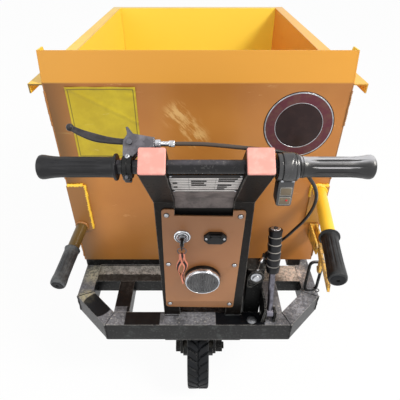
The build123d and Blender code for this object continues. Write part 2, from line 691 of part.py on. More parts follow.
def control_panel():
    middle = -PANEL_BELOW_BEND - PANEL_HEIGHT / 2
    notch = POST_SPREAD - POST
    face = Pos(0, middle) * RectangleRounded(PANEL_WIDTH, PANEL_HEIGHT, PANEL_CORNER)
    face -= Pos(0, -PANEL_BELOW_BEND) * Rectangle(notch, 2 * NOTCH_DEPTH)
    face -= Pos(*KEY_PLACE) * Circle(SWITCH_BARREL_R + FIXED_FIT)
    mouth = [side + 2 * (SOCKET_WALL + FIXED_FIT) for side in SOCKET_MOUTH]
    face -= Pos(*SOCKET_PLACE) * Rectangle(*mouth)
    face -= Pos(*LAMP_PLACE) * Circle(LAMP_BOWL_R + FIXED_FIT)
    return extrude(PANEL_PLANE.offset(POST / 2) * face, amount=PANEL_SHEET, dir=PANEL_PLANE.z_dir)


def panel_screws():
    dome = [(0, 0), (SCREW_R, 0), (SCREW_R, SCREW_HEAD / 2), (SCREW_CROWN_R, SCREW_HEAD), (0, SCREW_HEAD)]
    return [lathe(dome, panel_frame(place)) for place in panel_screw_places()]


def panel_frame(place):
    """A frame on the panel's outer face with its axis towards the operator."""
    origin = PANEL_PLANE.from_local_coords((*place, POST / 2 + PANEL_SHEET))
    return Plane(origin=origin, x_dir=PANEL_PLANE.x_dir, z_dir=PANEL_PLANE.z_dir)


def ignition_switch():
    bore = KEY_CORE_R + RUNNING_FIT
    floor = SWITCH_FLANGE - KEY_CORE
    outline = [(bore, floor), (bore, SWITCH_FLANGE), (SWITCH_FLANGE_R - SWITCH_BEVEL, SWITCH_FLANGE),
               (SWITCH_FLANGE_R, SWITCH_FLANGE - SWITCH_BEVEL), (SWITCH_FLANGE_R, 0), (SWITCH_BARREL_R, 0),
               (SWITCH_BARREL_R, -SWITCH_BARREL), (0, -SWITCH_BARREL), (0, floor)]
    return lathe(outline, panel_frame(KEY_PLACE))


def key_hole():
    """Height over the key's axis and standoff from the panel of the hole in the key's bow."""
    width, length = KEY_BOW
    return KEY_HOLE_INSET - width / 2, KEY_FACE + KEY_STANDOFF + length * KEY_HOLE_SHARE


def ignition_key():
    """The turning core with the key in it."""
    frame = panel_frame(KEY_PLACE)
    low = SWITCH_FLANGE - KEY_CORE + REST_GAP
    core = lathe([(0, low), (KEY_CORE_R, low), (KEY_CORE_R, KEY_FACE), (0, KEY_FACE)], frame)
    width, length = KEY_BOW
    upright = Plane(origin=frame.origin, x_dir=frame.y_dir, z_dir=frame.x_dir)
    bow = Pos(0, KEY_FACE + KEY_STANDOFF + length / 2) * RectangleRounded(width, length, KEY_BOW_ROUND)
    shank = Pos(0, KEY_FACE + KEY_STANDOFF / 2) * Rectangle(KEY_STANDOFF, KEY_STANDOFF + KEY_ROOT)
    profile = bow + shank - Pos(*key_hole()) * Circle(KEY_HOLE_R)
    return core + extrude(upright.offset(-KEY_THICK / 2) * profile, amount=KEY_THICK, dir=upright.z_dir)


def key_fob():
    """Ring through the key's hole and the strap that hangs from it."""
    frame = panel_frame(KEY_PLACE)
    up, out = key_hole()
    ring_place = frame.from_local_coords((0, up - RING_R, out))
    ring = Plane(origin=ring_place, x_dir=ACROSS, z_dir=frame.z_dir) * Torus(RING_R, RING_WIRE_R)
    width, length, thick = FOB
    hang = frame.from_local_coords((0, up - 2 * RING_R, out))
    strap_plane = Plane(origin=hang, x_dir=frame.z_dir, z_dir=ACROSS)
    strap = Pos(0, length / 2 - 2 * FOB_HOLE_R) * RectangleRounded(width, length, width / 4)
    strap -= Circle(FOB_HOLE_R)
    return [ring, extrude(strap_plane.offset(-thick / 2) * strap, amount=thick, dir=strap_plane.z_dir)]


def octagon(width, height, cut):
    """A rectangle with its corners cut off."""
    x, y = width / 2, height / 2
    return [(-x, cut - y), (cut - x, -y), (x - cut, -y), (x, cut - y),
            (x, y - cut), (x - cut, y), (cut - x, y), (-x, y - cut)]


def charging_socket():
    """A flanged inlet with three flat pins, and two knuckles for its flap."""
    frame = panel_frame(SOCKET_PLACE)
    half_width, half_height = SOCKET_MOUTH[0] / 2, SOCKET_MOUTH[1] / 2
    mouth = rectangle(half_width, -half_height, half_height)
    outer = rectangle(half_width + SOCKET_WALL, -half_height - SOCKET_WALL, half_height + SOCKET_WALL)
    floor = SOCKET_WALL - SOCKET_DEPTH
    body = prism(octagon(SOCKET_WIDTH, SOCKET_HEIGHT, SOCKET_CORNER), frame, 0, SOCKET_FLANGE)
    body += prism(outer, frame, -SOCKET_DEPTH, 0)
    body -= prism(mouth, frame, floor, SOCKET_FLANGE)
    wide, tall = SOCKET_PIN
    for across, up in SOCKET_PIN_PLACES:
        pin = [(across + x, up + y) for x, y in rectangle(wide / 2, -tall / 2, tall / 2)]
        body += prism(pin, frame, floor, -SOCKET_PIN_RECESS)
    up, out = flap_hinge()
    reach = FLAP_WIDTH / 2
    for start in (-reach - KNUCKLE, reach):
        middle = start + KNUCKLE / 2
        foot = [(middle + x, up + y) for x, y in rectangle(KNUCKLE / 2, -FLAP_HINGE_R, FLAP_HINGE_R)]
        body += prism(foot, frame, SOCKET_FLANGE / 2, out)
        body += flap_rod(start, start + KNUCKLE, FLAP_HINGE_R)
    return body + flap_rod(-reach - KNUCKLE / 2, reach + KNUCKLE / 2, FLAP_HINGE_R / 2)


def flap_hinge():
    """Height over the socket's middle and standoff from the panel of the flap's hinge."""
    return FLAP_HEIGHT / 2 + FLAP_HINGE_R, SOCKET_FLANGE + FLAP_HINGE_R


def flap_rod(start, end, radius):
    """A round bar on the flap's hinge line."""
    frame = panel_frame(SOCKET_PLACE)
    return rod(frame.from_local_coords((start, *flap_hinge())), frame.from_local_coords((end, *flap_hinge())),
               radius)


def socket_flap():
    frame = panel_frame(SOCKET_PLACE)
    up = flap_hinge()[0]
    reach = FLAP_WIDTH / 2 - REST_GAP
    low = SOCKET_FLANGE + REST_GAP
    flap = prism(octagon(FLAP_WIDTH, FLAP_HEIGHT, FLAP_CORNER), frame, low, low + FLAP_THICK)
    neck = rectangle(FLAP_WIDTH / 2 - FLAP_CORNER, FLAP_HEIGHT / 2 - 2 * FLAP_NECK_IN, up)
    flap += prism(neck, frame, low + FLAP_NECK_IN, low + FLAP_THICK - FLAP_NECK_IN)
    flap += flap_rod(-reach, reach, FLAP_HINGE_R - REST_GAP)
    return flap - flap_rod(-reach, reach, FLAP_HINGE_R / 2 + RUNNING_FIT)


def lamp_housing():
    """A chromed ring proud of the panel with a bowl behind it."""
    bowl = LAMP_BOWL_R - LAMP_WALL
    seat = LAMP_PROUD - LENS_THICK
    back = -LAMP_BOWL_DEPTH
    outside = [(0, back), (LAMP_FLOOR_R + LAMP_WALL, back), (LAMP_BOWL_R, -LAMP_BOWL_BEND), (LAMP_BOWL_R, 0),
               (LAMP_R, 0), (LAMP_R, LAMP_PROUD - LAMP_BEVEL), (LAMP_R - LAMP_BEVEL, LAMP_PROUD)]
    inside = [(LAMP_BOWL_R, LAMP_PROUD), (LAMP_BOWL_R, seat), (bowl, seat), (bowl, -LAMP_BOWL_BEND),
              (LAMP_FLOOR_R, back + LAMP_WALL), (0, back + LAMP_WALL)]
    return lathe(outside + inside, panel_frame(LAMP_PLACE))


def lamp_lens():
    face = LAMP_PROUD - LENS_THICK
    edge = LAMP_BOWL_R - FIXED_FIT
    outline = [(0, face), (edge, face), (edge, LAMP_PROUD), (LENS_BEND_R, LAMP_PROUD + LENS_CROWN * 2 / 3),
               (0, LAMP_PROUD + LENS_CROWN)]
    return lathe(outline, panel_frame(LAMP_PLACE))


def motor_controller():
    """Finned box on the front wall of the control box."""
    width, height, depth = CONTROLLER
    back = POST / 2 - BOX_DEPTH + BOX_SHEET
    low = -PANEL_BELOW_BEND - PANEL_HEIGHT + 2 * BOX_SHORT
    body = prism(rectangle(width / 2, low, low + height), LOWER_PLANE, back, back + depth)
    pitch = width / (2 * CONTROLLER_FINS)
    for index in range(CONTROLLER_FINS):
        middle = -width / 2 + (2 * index + 1) * pitch
        groove = [(middle + x, y) for x, y in rectangle(pitch / 2, low, low + height)]
        body -= prism(groove, LOWER_PLANE, back + depth - FIN_DEPTH, back + depth)
    return body


# Handlebar

def handlebar():
    bore = BAR_R - BAR_WALL
    return lathe([(bore, -BAR_HALF), (BAR_R, -BAR_HALF), (BAR_R, BAR_HALF), (bore, BAR_HALF)], BAR_FRAME)


def bar_grip(fit, sign, inner_end):
    """A closed rubber grip with a waist and a flared outer end, from the profile of its inner end."""
    end = BAR_HALF + fit + GRIP_END
    outline = inner_end + [(GRIP_R, end - GRIP_FLARE), (GRIP_FLARE_R, end - 2 * GRIP_EDGE),
                           (GRIP_FLARE_R, end - GRIP_EDGE), (GRIP_FLARE_R - GRIP_EDGE, end), (0, end),
                           (0, BAR_HALF + fit), (BAR_R + fit, BAR_HALF + fit)]
    return lathe([(radius, sign * place) for radius, place in outline], BAR_FRAME)


def left_grip():
    """Fixed grip with a thin flange at its inner end."""
    slope = LEFT_GRIP_START + GRIP_FLANGE + GRIP_STEP
    flange = [(BAR_R + FIXED_FIT, LEFT_GRIP_START), (GRIP_FLANGE_R, LEFT_GRIP_START),
              (GRIP_FLANGE_R, LEFT_GRIP_START + GRIP_FLANGE), (GRIP_R, slope)]
    return bar_grip(FIXED_FIT, -1, flange)


def throttle_grip():
    """Twist grip that turns on the bar."""
    bore = BAR_R + RUNNING_FIT
    collar = [(bore, GRIP_START), (GRIP_COLLAR_R, GRIP_START), (GRIP_R, GRIP_START + GRIP_FLARE)]
    return bar_grip(RUNNING_FIT, 1, collar)


def throttle_housing():
    """Split housing on the bar with the display pod that hangs from it."""
    start, end = THROTTLE_START, GRIP_START - REST_GAP
    edge = THROTTLE_R - THROTTLE_BEVEL
    bore = BAR_R + FIXED_FIT
    ring = [(bore, start), (edge, start), (THROTTLE_R, start + THROTTLE_BEVEL),
            (THROTTLE_R, end - THROTTLE_BEVEL), (edge, end), (bore, end)]
    middle = COLUMN_X + (start + end) / 2
    section = Pos(middle, BAR.Y, BAR.Z - POD_DROP) * RectangleRounded(POD_WIDTH, POD_DEPTH, POD_RADIUS)
    pod = extrude(section, amount=POD_DROP - THROTTLE_R * POD_JOIN, dir=(0, 0, 1))
    left, right = (middle - POD_WIDTH, BAR.Y, BAR.Z), (middle + POD_WIDTH, BAR.Y, BAR.Z)
    return lathe(ring, BAR_FRAME) + (pod - rod(left, right, THROTTLE_R - POD_OVERLAP))


def brake_perch():
    """Clamp and arm that carry the lever in a slot, with the pivot pin fixed in it."""
    low, high = PERCH_CLAMP
    bore = BAR_R + FIXED_FIT
    half = PERCH_THICK / 2
    clamp = lathe([(bore, low), (PERCH_CLAMP_R, low), (PERCH_CLAMP_R, high), (bore, high)], BAR_FRAME)
    heel = PERCH_LOW + LEVER_EYE_R
    outline = [(low, PERCH_FOOT), (high, PERCH_FOOT), (high + half, PERCH_LOW)]
    outline += [(ADJUSTER_START, ADJUSTER_OFFSET - half), (ADJUSTER_START, ADJUSTER_OFFSET + half)]
    outline += [(high + half, HORN[0][1]), *HORN[::-1], (low, heel + half), (low, heel)]
    arm = prism(outline, LEVER_PLANE, -half, half)
    slot_low, slot_root, slot_mouth = LEVER_SLOT
    mouth, end = low - SLOT_REACH[0], high + SLOT_REACH[1]
    slot = [(mouth, slot_low), (end, slot_low), (end, slot_root), (mouth, slot_mouth)]
    gap = LEVER_THICK / 2 + REST_GAP
    room = rod(lever_place((low, 0), 0), lever_place((high, 0), 0), bore)
    body = clamp + arm - room - prism(slot, LEVER_PLANE, -gap, gap)
    return body + lever_pin(half + LEVER_PIN_PROUD, LEVER_PIN_R)


def brake_lever():
    """A flat curved lever with an eye on the pin and a ball at its tip."""
    half = LEVER_THICK / 2
    across, out = LEVER_PIVOT
    tip_across, tip_out = LEVER_TIP
    neck = LEVER_BALL_R / 2
    blade = [(across + x, out + y) for x, y in LEVER_OUTER]
    blade += [(tip_across, tip_out + neck), (tip_across, tip_out - neck)]
    blade += [(across + x, out + y) for x, y in LEVER_INNER]
    lever = prism(blade, LEVER_PLANE, -half, half) + lever_pin(half, LEVER_EYE_R)
    tip = Plane(origin=lever_place(LEVER_TIP, 0), x_dir=LEVER_FACE, z_dir=LEVER_PLANE.y_dir)
    lever += tip * Sphere(LEVER_BALL_R)
    return lever - lever_pin(half, LEVER_PIN_R + RUNNING_FIT)


def lever_place(place, over):
    """A point of the lever's plane, or over it."""
    return LEVER_PLANE.from_local_coords((*place, over))


def lever_pin(half, radius):
    """A round bar on the lever's pivot, half its length to each side."""
    return rod(lever_place(LEVER_PIVOT, -half), lever_place(LEVER_PIVOT, half), radius)


def cable_adjuster():
    """Stepped barrel that screws into the perch."""
    outline = [(0, 0)]
    place = 0
    for radius, length in ADJUSTER_STEPS:
        outline += [(radius, place), (radius, place + length)]
        place += length
    outline.append((0, place))
    return lathe(outline, across_frame(*lever_place((ADJUSTER_START, ADJUSTER_OFFSET), 0)))


def cable_corner_radii(points):
    """The largest radius that each corner's two runs allow."""
    radii = []
    for before, corner, after in zip(points, points[1:], points[2:]):
        run_in = Vector(*corner) - Vector(*before)
        run_out = Vector(*after) - Vector(*corner)
        half_turn = math.radians(run_in.get_angle(run_out)) / 2
        radii.append(CORNER_SHARE * min(run_in.length, run_out.length) / math.tan(half_turn))
    return radii


def brake_cable():
    """Outer tube from the adjuster to the cable stop, and the bare wire that goes on to the crank."""
    radii = cable_corner_radii(CABLE_ROUTE)
    path = FilletPolyline(*CABLE_ROUTE, radius=radii)
    outer = sweep(Plane(path @ 0, z_dir=path % 0) * Circle(CABLE_R), path=path)
    section = math.pi * CABLE_R ** 2 * path.length
    print("cable radii", [round(radius) for radius in radii], "length", round(path.length, 1),
          "volume over section times length", round(outer.volume / section, 4))
    wire_y = CRANK_PIVOT.Y - WORKING_GAP - CRANK_THICK / 2
    wire_end = (CRANK_PIVOT.X + WIRE_AWAY, wire_y, CRANK_PIVOT.Z + CRANK_R + WIRE_R + REST_GAP)
    return [outer, rod(CABLE_ROUTE[-1], wire_end, WIRE_R)]


# Brake post, crank and parking brake

def brake_post():
    """Tube in front of the rear crossbar with the crank's stub and the arm that holds the cable."""
    half = TUBE_WIDTH / 2
    side = (BRAKE_POST_X - half, BRAKE_POST_X + half)
    depth = (TUBE_WIDTH, 2 * TUBE_WIDTH)
    height = (FRAME_BOTTOM, FRAME_TOP + BRAKE_POST_RISE)
    post = block(side, depth, height)
    hollow_side = (side[0] + TUBE_WALL, side[1] - TUBE_WALL)
    hollow_depth = (depth[0] + TUBE_WALL, depth[1] - TUBE_WALL)
    post -= block(hollow_side, hollow_depth, (height[0], height[1] - TUBE_WALL))
    stub_start = (CRANK_PIVOT.X, CRANK_PIVOT.Y + TUBE_WALL, CRANK_PIVOT.Z)
    stub_end = (CRANK_PIVOT.X, CRANK_PIVOT.Y - WORKING_GAP - CRANK_THICK, CRANK_PIVOT.Z)
    post += rod(stub_start, stub_end, CRANK_STUB_R)
    last, end = Vector(*CABLE_ROUTE[-2]), Vector(*CABLE_ROUTE[-1])
    hold = (last + end) * 0.5
    rear, front = hold.Y - STOP_CLAMP, hold.Y + STOP_CLAMP
    low, high = hold.Z - STOP_HALF, hold.Z + STOP_HALF
    foot_rear, foot_front = depth[0] + STOP_FOOT[0], depth[0] + STOP_FOOT[1]
    foot_low = height[1] - STOP_FOOT_DROP
    arm = [(foot_rear, foot_low), (foot_front, foot_low), (foot_front, height[1]), (front, low),
           (front, high), (rear, high), (rear, low), (foot_rear, height[1])]
    post += prism(arm, Plane.YZ, side[1], side[1] + STOP_SHEET)
    post += block((hold.X - STOP_CLAMP, side[1] + STOP_SHEET), (rear, front), (low, high))
    direction = (end - last).normalized()
    return post - rod(last - direction * CABLE_R, end + direction * CABLE_R, CABLE_R + FIXED_FIT)


def crank_frame():
    return Plane(origin=CRANK_PIVOT, x_dir=ACROSS, z_dir=(0, -1, 0))


def brake_crank():
    """A rounded plate with an arm, held on its stub by a domed bolt."""
    frame = crank_frame()
    high = WORKING_GAP + CRANK_THICK
    bore = CRANK_STUB_R + RUNNING_FIT
    length = math.hypot(*CRANK_ARM)
    turn = math.degrees(math.atan2(CRANK_ARM[1], CRANK_ARM[0]))
    plate = Circle(CRANK_R) + Pos(*CRANK_ARM) * Circle(CRANK_ARM_R)
    plate += Rot(0, 0, turn) * Pos(length / 2, 0) * Rectangle(length, 2 * CRANK_ARM_R)
    plate -= Pos(*CRANK_ARM) * Circle(CRANK_ARM_R / 2)
    crank = extrude(frame.offset(WORKING_GAP) * plate, amount=CRANK_THICK, dir=frame.z_dir)
    crank -= rod(frame.from_local_coords((0, 0, 0)), frame.from_local_coords((0, 0, high)), bore)
    head = [(0, high + REST_GAP), (bore, high + REST_GAP), (bore, high), (CRANK_BOLT_R, high),
            (CRANK_BOLT_R, high + CRANK_BOLT_HEAD / 2), (CRANK_BOLT_CROWN_R, high + CRANK_BOLT_HEAD),
            (0, high + CRANK_BOLT_HEAD)]
    return crank + lathe(head, frame)


def ratchet_bracket():
    """Toothed sector and two lugs on the rear crossbar, with the lever's pin through them."""
    near = PARK_EYE_WIDTH / 2 + PARK_SIDE_GAP
    y, z = PARK_PIVOT.Y, PARK_PIVOT.Z
    sector_x = PARK_X - SECTOR_FROM_LEVER
    foot = [(y - PARK_LUG_R, FRAME_TOP), (y + PARK_LUG_R, FRAME_TOP)]
    lug = foot + [(y + PARK_LUG_R, z), (y - PARK_LUG_R, z)]
    pin_end = PARK_X + near + PARK_LUG + PARK_PIN_PROUD
    body = rod((sector_x - PARK_PIN_PROUD, y, z), (pin_end, y, z), PARK_PIN_R)
    for start in (PARK_X - near - PARK_LUG, PARK_X + near):
        body += prism(lug, Plane.YZ, start, start + PARK_LUG)
        body += rod((start, y, z), (start + PARK_LUG, y, z), PARK_LUG_R)
    first, last = SECTOR_SPAN
    step = (last - first) / (2 * SECTOR_TEETH)
    arc = []
    for index in range(2 * SECTOR_TEETH + 1):
        angle = math.radians(first + index * step)
        radius = SECTOR_R - (index % 2) * SECTOR_TOOTH
        arc.append((y + radius * math.cos(angle), z + radius * math.sin(angle)))
    return body + prism(foot + arc, Plane.YZ, sector_x, sector_x + SECTOR_SHEET)


def parking_lever():
    """Eye on the pin and a round rod."""
    half = PARK_EYE_WIDTH / 2
    low = (PARK_X - half, PARK_PIVOT.Y, PARK_PIVOT.Z)
    high = (PARK_X + half, PARK_PIVOT.Y, PARK_PIVOT.Z)
    rod_end = PARK_PIVOT + PARK_UP * PARK_ROD_END
    lever = rod(PARK_PIVOT, rod_end, PARK_ROD_R) + rod(low, high, PARK_EYE_R)
    return lever - rod(low, high, PARK_PIN_R + RUNNING_FIT)


def parking_grip():
    """Ribbed rubber grip with grooves round it and a hole in its top for the button."""
    roof = PARK_GRIP_END - PARK_GRIP_ROOF
    bore = PARK_ROD_R + FIXED_FIT
    hole = PARK_BUTTON_R + RUNNING_FIT
    edge = PARK_GRIP_R - PARK_GRIP_EDGE
    floor = PARK_GRIP_R - PARK_RING_GROOVE
    wide, narrow = PARK_RING_HALF
    pitch = (PARK_GRIP_END - PARK_GRIP_START) / (PARK_RINGS + 1)
    foot = PARK_GRIP_START
    outline = [(bore, foot), (edge, foot), (PARK_GRIP_R, foot + PARK_GRIP_EDGE)]
    for ring in range(1, PARK_RINGS + 1):
        place = foot + ring * pitch
        outline += [(PARK_GRIP_R, place - wide), (floor, place - narrow), (floor, place + narrow),
                    (PARK_GRIP_R, place + wide)]
    outline += [(PARK_GRIP_R, PARK_GRIP_END - PARK_GRIP_EDGE), (edge, PARK_GRIP_END), (hole, PARK_GRIP_END),
                (hole, roof), (bore, roof)]
    return lathe(outline, PARK_FRAME)


def parking_button():
    shoulder = PARK_BUTTON_R + PARK_BUTTON_SHOULDER
    roof = PARK_GRIP_END - PARK_GRIP_ROOF - REST_GAP
    foot = PARK_ROD_END + PARK_BUTTON_TRAVEL + PARK_BUTTON_BEVEL
    top = PARK_GRIP_END + PARK_BUTTON_PROUD
    outline = [(0, foot), (shoulder, foot), (shoulder, roof), (PARK_BUTTON_R, roof),
               (PARK_BUTTON_R, top - PARK_BUTTON_BEVEL), (PARK_BUTTON_R - PARK_BUTTON_BEVEL, top), (0, top)]
    return lathe(outline, PARK_FRAME)


# Rear caster

def caster_plate():
    """Plate under the column bearers with the upper race and the kingpin."""
    half = POST_SPREAD / 2 + TUBE_WIDTH / 2
    side = (COLUMN_X - half, COLUMN_X + half)
    plate = block(side, (TUBE_WALL, SWIVEL_Y + CASTER_PLATE_FRONT), (CASTER_PLATE_Z, FRAME_BOTTOM))
    race_low = CASTER_PLATE_Z - CASTER_RACE / 2 + REST_GAP
    nut_high = CROWN_TOP - CASTER_PLATE - REST_GAP
    nut_low = nut_high - CASTER_HEADROOM / 2
    nut_r = KINGPIN_R * 1.5
    top = FRAME_BOTTOM + KINGPIN_R
    pin = [(0, nut_low), (nut_r, nut_low), (nut_r, nut_high), (KINGPIN_R, nut_high), (KINGPIN_R, race_low),
           (CASTER_RACE_R, race_low), (CASTER_RACE_R, CASTER_PLATE_Z), (nut_r, CASTER_PLATE_Z), (nut_r, top),
           (0, top)]
    return plate + lathe(pin, Plane(origin=(0, SWIVEL_Y, 0)))


def caster_fork():
    """Crown with the lower race, and two plate legs down to the axle."""
    inside = CASTER_LEG_GAP / 2
    outside = inside + CASTER_PLATE
    rear, front = SWIVEL_Y + CASTER_CROWN[0], SWIVEL_Y + CASTER_CROWN[1]
    crown_low = CROWN_TOP - CASTER_PLATE
    race_top = CROWN_TOP + CASTER_RACE / 2
    fork = block((-outside, outside), (rear, front), (crown_low, CROWN_TOP))
    leg = [(rear, CROWN_TOP), (front, CROWN_TOP), (CASTER_AXLE_Y + CASTER_EYE_R, CASTER_WHEEL_R),
           (CASTER_AXLE_Y - CASTER_EYE_R, CASTER_WHEEL_R)]
    for start in (-outside, inside):
        fork += prism(leg, Plane.YZ, start, start + CASTER_PLATE)
        fork += rod(axle_place(start), axle_place(start + CASTER_PLATE), CASTER_EYE_R)
    bore, bush = KINGPIN_R + RUNNING_FIT, KINGPIN_R + KINGPIN_BUSH
    race = [(bore, crown_low), (bush, crown_low), (bush, CROWN_TOP), (CASTER_RACE_R, CROWN_TOP),
            (CASTER_RACE_R, race_top), (bore, race_top)]
    fork -= rod((0, SWIVEL_Y, crown_low), (0, SWIVEL_Y, CROWN_TOP), KINGPIN_R + KINGPIN_BUSH / 2)
    fork += lathe(race, Plane(origin=(0, SWIVEL_Y, 0)))
    return fork - rod(axle_place(-outside), axle_place(outside), CASTER_AXLE_R + FIXED_FIT)


def caster_axle():
    """Bolt through the fork with a head on the left and a nut on the right."""
    outside = CASTER_LEG_GAP / 2 + CASTER_PLATE
    nut_end = outside + AXLE_NUT
    bolt = rod(axle_place(-outside), axle_place(nut_end + AXLE_PROUD), CASTER_AXLE_R)
    bolt += hex_bar(axle_place(-outside - AXLE_HEAD), axle_place(-outside), AXLE_FLATS)
    return bolt + hex_bar(axle_place(outside), axle_place(nut_end), AXLE_FLATS)


def axle_place(x):
    """A point on the caster's axle."""
    return (x, CASTER_AXLE_Y, CASTER_WHEEL_R)


def caster_rim():
    """Hub, web and rim band turned in one."""
    hub = CASTER_LEG_GAP / 2 - CASTER_HUB_GAP
    band = CASTER_TYRE_WIDTH / 2 - CASTER_BAND_IN
    hub_r = CASTER_AXLE_R * 3
    under = CASTER_RIM_R - CASTER_PLATE
    half = [(hub_r, hub), (hub_r, CASTER_WEB), (under, CASTER_WEB), (under, band), (CASTER_RIM_R, band)]
    other = [(radius, -place) for radius, place in half[::-1]]
    bore = CASTER_AXLE_R + RUNNING_FIT
    outline = [(bore, hub)] + half + other + [(bore, -hub)]
    return lathe(outline, across_frame(*axle_place(0)))


def tyre_outline(inner, outer, width, bead):
    """Square shouldered section of a tyre about its middle."""
    wall = outer - inner
    side = [(inner, bead / 2), (inner + wall * TYRE_BEAD, bead / 2)]
    side += [(inner + wall * rise, width / 2 * reach) for rise, reach in TYRE_SIDE]
    return side + [(radius, -place) for radius, place in side[::-1]]


def caster_tyre():
    bead = CASTER_TYRE_WIDTH - 2 * CASTER_BAND_IN
    outline = tyre_outline(CASTER_RIM_R, CASTER_WHEEL_R, CASTER_TYRE_WIDTH, bead)
    return lathe(outline, across_frame(*axle_place(0)))


# Drive axle

def both_sides(half):
    """A profile from the middle outwards, made whole with its mirror image and closed on the axis."""
    end = half[-1][1]
    return [(0, -end)] + [(radius, -place) for radius, place in half[::-1]] + half + [(0, end)]


def axle_housing():
    """Two tubes and the gear case between them, bored for the shafts, with a backplate at each end."""
    frame = across_frame(0, AXLE_Y, WHEEL_R)
    case_in = GEAR_CASE_HALF - GEAR_CASE_WALL
    end = AXLE_TUBE_END + WORKING_GAP
    backplate_r = DRUM_R - DRUM_WALL - WORKING_GAP
    bearing = AXLE_TUBE_END - 2 * GEAR_CASE_WALL
    skin = [(GEAR_CASE_R, GEAR_CASE_HALF), (AXLE_TUBE_R, GEAR_CASE_HALF + 1.5 * GEAR_CASE_WALL),
            (AXLE_TUBE_R, AXLE_TUBE_END), (backplate_r, AXLE_TUBE_END), (backplate_r, end)]
    bore = [(GEAR_CASE_R - GEAR_CASE_WALL, case_in), (AXLE_BORE_R, case_in), (AXLE_BORE_R, bearing),
            (SHAFT_R + RUNNING_FIT, bearing), (SHAFT_R + RUNNING_FIT, end)]
    housing = lathe(both_sides(skin), frame) - lathe(both_sides(bore), frame)
    left, right = -GEAR_CASE_HALF, -GEAR_CASE_HALF / 3
    neck_end = AXLE_Y - GEAR_CASE_R / 2
    low, high = WHEEL_R - MOTOR_R, WHEEL_R + MOTOR_R
    neck = [(MOTOR_Y, low), (neck_end, low), (neck_end, high), (MOTOR_Y, high)]
    reduction = prism(neck, Plane.YZ, left, right)
    reduction += rod((left, MOTOR_Y, WHEEL_R), (right, MOTOR_Y, WHEEL_R), MOTOR_R)
    inside = GEAR_CASE_R - GEAR_CASE_WALL / 10
    return housing + (reduction - rod((left, AXLE_Y, WHEEL_R), (right, AXLE_Y, WHEEL_R), inside))


def drive_motor():
    """Motor beside the gear case, with a smaller end bell."""
    start = -GEAR_CASE_HALF / 3
    end = start + MOTOR_LENGTH
    bell = end - MOTOR_BELL
    bell_r = MOTOR_R - MOTOR_BELL_STEP
    outline = [(0, start), (MOTOR_R, start), (MOTOR_R, bell), (bell_r, bell), (bell_r, end - MOTOR_BELL_STEP),
               (bell_r - MOTOR_BELL_STEP, end), (0, end)]
    return lathe(outline, across_frame(0, MOTOR_Y, WHEEL_R))


def axle_saddles():
    """Blocks between the stringers and the axle tube."""
    side = (STRINGER_X - TUBE_WIDTH / 2, STRINGER_X + TUBE_WIDTH / 2)
    depth = (AXLE_Y - SADDLE_DEPTH / 2, AXLE_Y + SADDLE_DEPTH / 2)
    saddle = block(side, depth, (WHEEL_R, FRAME_TOP - LOW_TUBE_HEIGHT))
    saddle -= rod((side[0], AXLE_Y, WHEEL_R), (side[1], AXLE_Y, WHEEL_R), AXLE_TUBE_R + FIXED_FIT)
    return [mirrored(saddle), saddle]


def half_shaft():
    """Right shaft with the brake drum and the wheel flange on it."""
    start = GEAR_CASE_HALF - GEAR_CASE_WALL + SHAFT_INSET
    drum = AXLE_TUBE_END + 2 * WORKING_GAP
    flange = drum + DRUM_WIDTH
    face = flange + HUB_FLANGE
    tip = face + HUB_FLANGE
    drum_in = DRUM_R - DRUM_WALL
    outline = [(0, start), (SHAFT_R, start), (SHAFT_R, flange - DRUM_WALL), (drum_in, flange - DRUM_WALL),
               (drum_in, drum), (DRUM_R, drum), (DRUM_R, flange), (HUB_FLANGE_R, flange),
               (HUB_FLANGE_R, face), (SPIGOT_R, face), (SPIGOT_R, tip), (0, tip)]
    return lathe(outline, across_frame(0, AXLE_Y, WHEEL_R))


def wheel_rim():
    """Right wheel disc, dished out to a barrel with a flange at each edge."""
    face = AXLE_TUBE_END + 2 * WORKING_GAP + DRUM_WIDTH + HUB_FLANGE
    disc = DRUM_WALL
    barrel_in = WHEEL_RIM_R - DRUM_WALL
    left = WHEEL_INNER_X + RIM_INSET
    right = WHEEL_INNER_X + WHEEL_WIDTH - RIM_INSET
    join = WHEEL_INNER_X + WHEEL_WIDTH * DISC_JOIN
    flange_r = WHEEL_RIM_R + RIM_FLANGE_RISE
    bore = SPIGOT_R + FIXED_FIT
    flat = HUB_FLANGE_R + DISC_EDGE
    outline = [(bore, face), (flat, face), (barrel_in, join), (barrel_in, left), (flange_r, left),
               (flange_r, left + WHEEL_FLANGE), (WHEEL_RIM_R, left + WHEEL_FLANGE),
               (WHEEL_RIM_R, right - WHEEL_FLANGE), (flange_r, right - WHEEL_FLANGE), (flange_r, right),
               (barrel_in, right), (barrel_in, join + 1.5 * disc), (flat, face + disc),
               (bore, face + disc)]
    return lathe(outline, across_frame(0, AXLE_Y, WHEEL_R))


def wheel_tyre():
    bead = WHEEL_WIDTH - 2 * RIM_INSET - 2 * WHEEL_FLANGE - 2 * FIXED_FIT
    outline = tyre_outline(WHEEL_RIM_R + FIXED_FIT, WHEEL_R, WHEEL_WIDTH, bead)
    return lathe(outline, across_frame(WHEEL_INNER_X + WHEEL_WIDTH / 2, AXLE_Y, WHEEL_R))


# Batteries

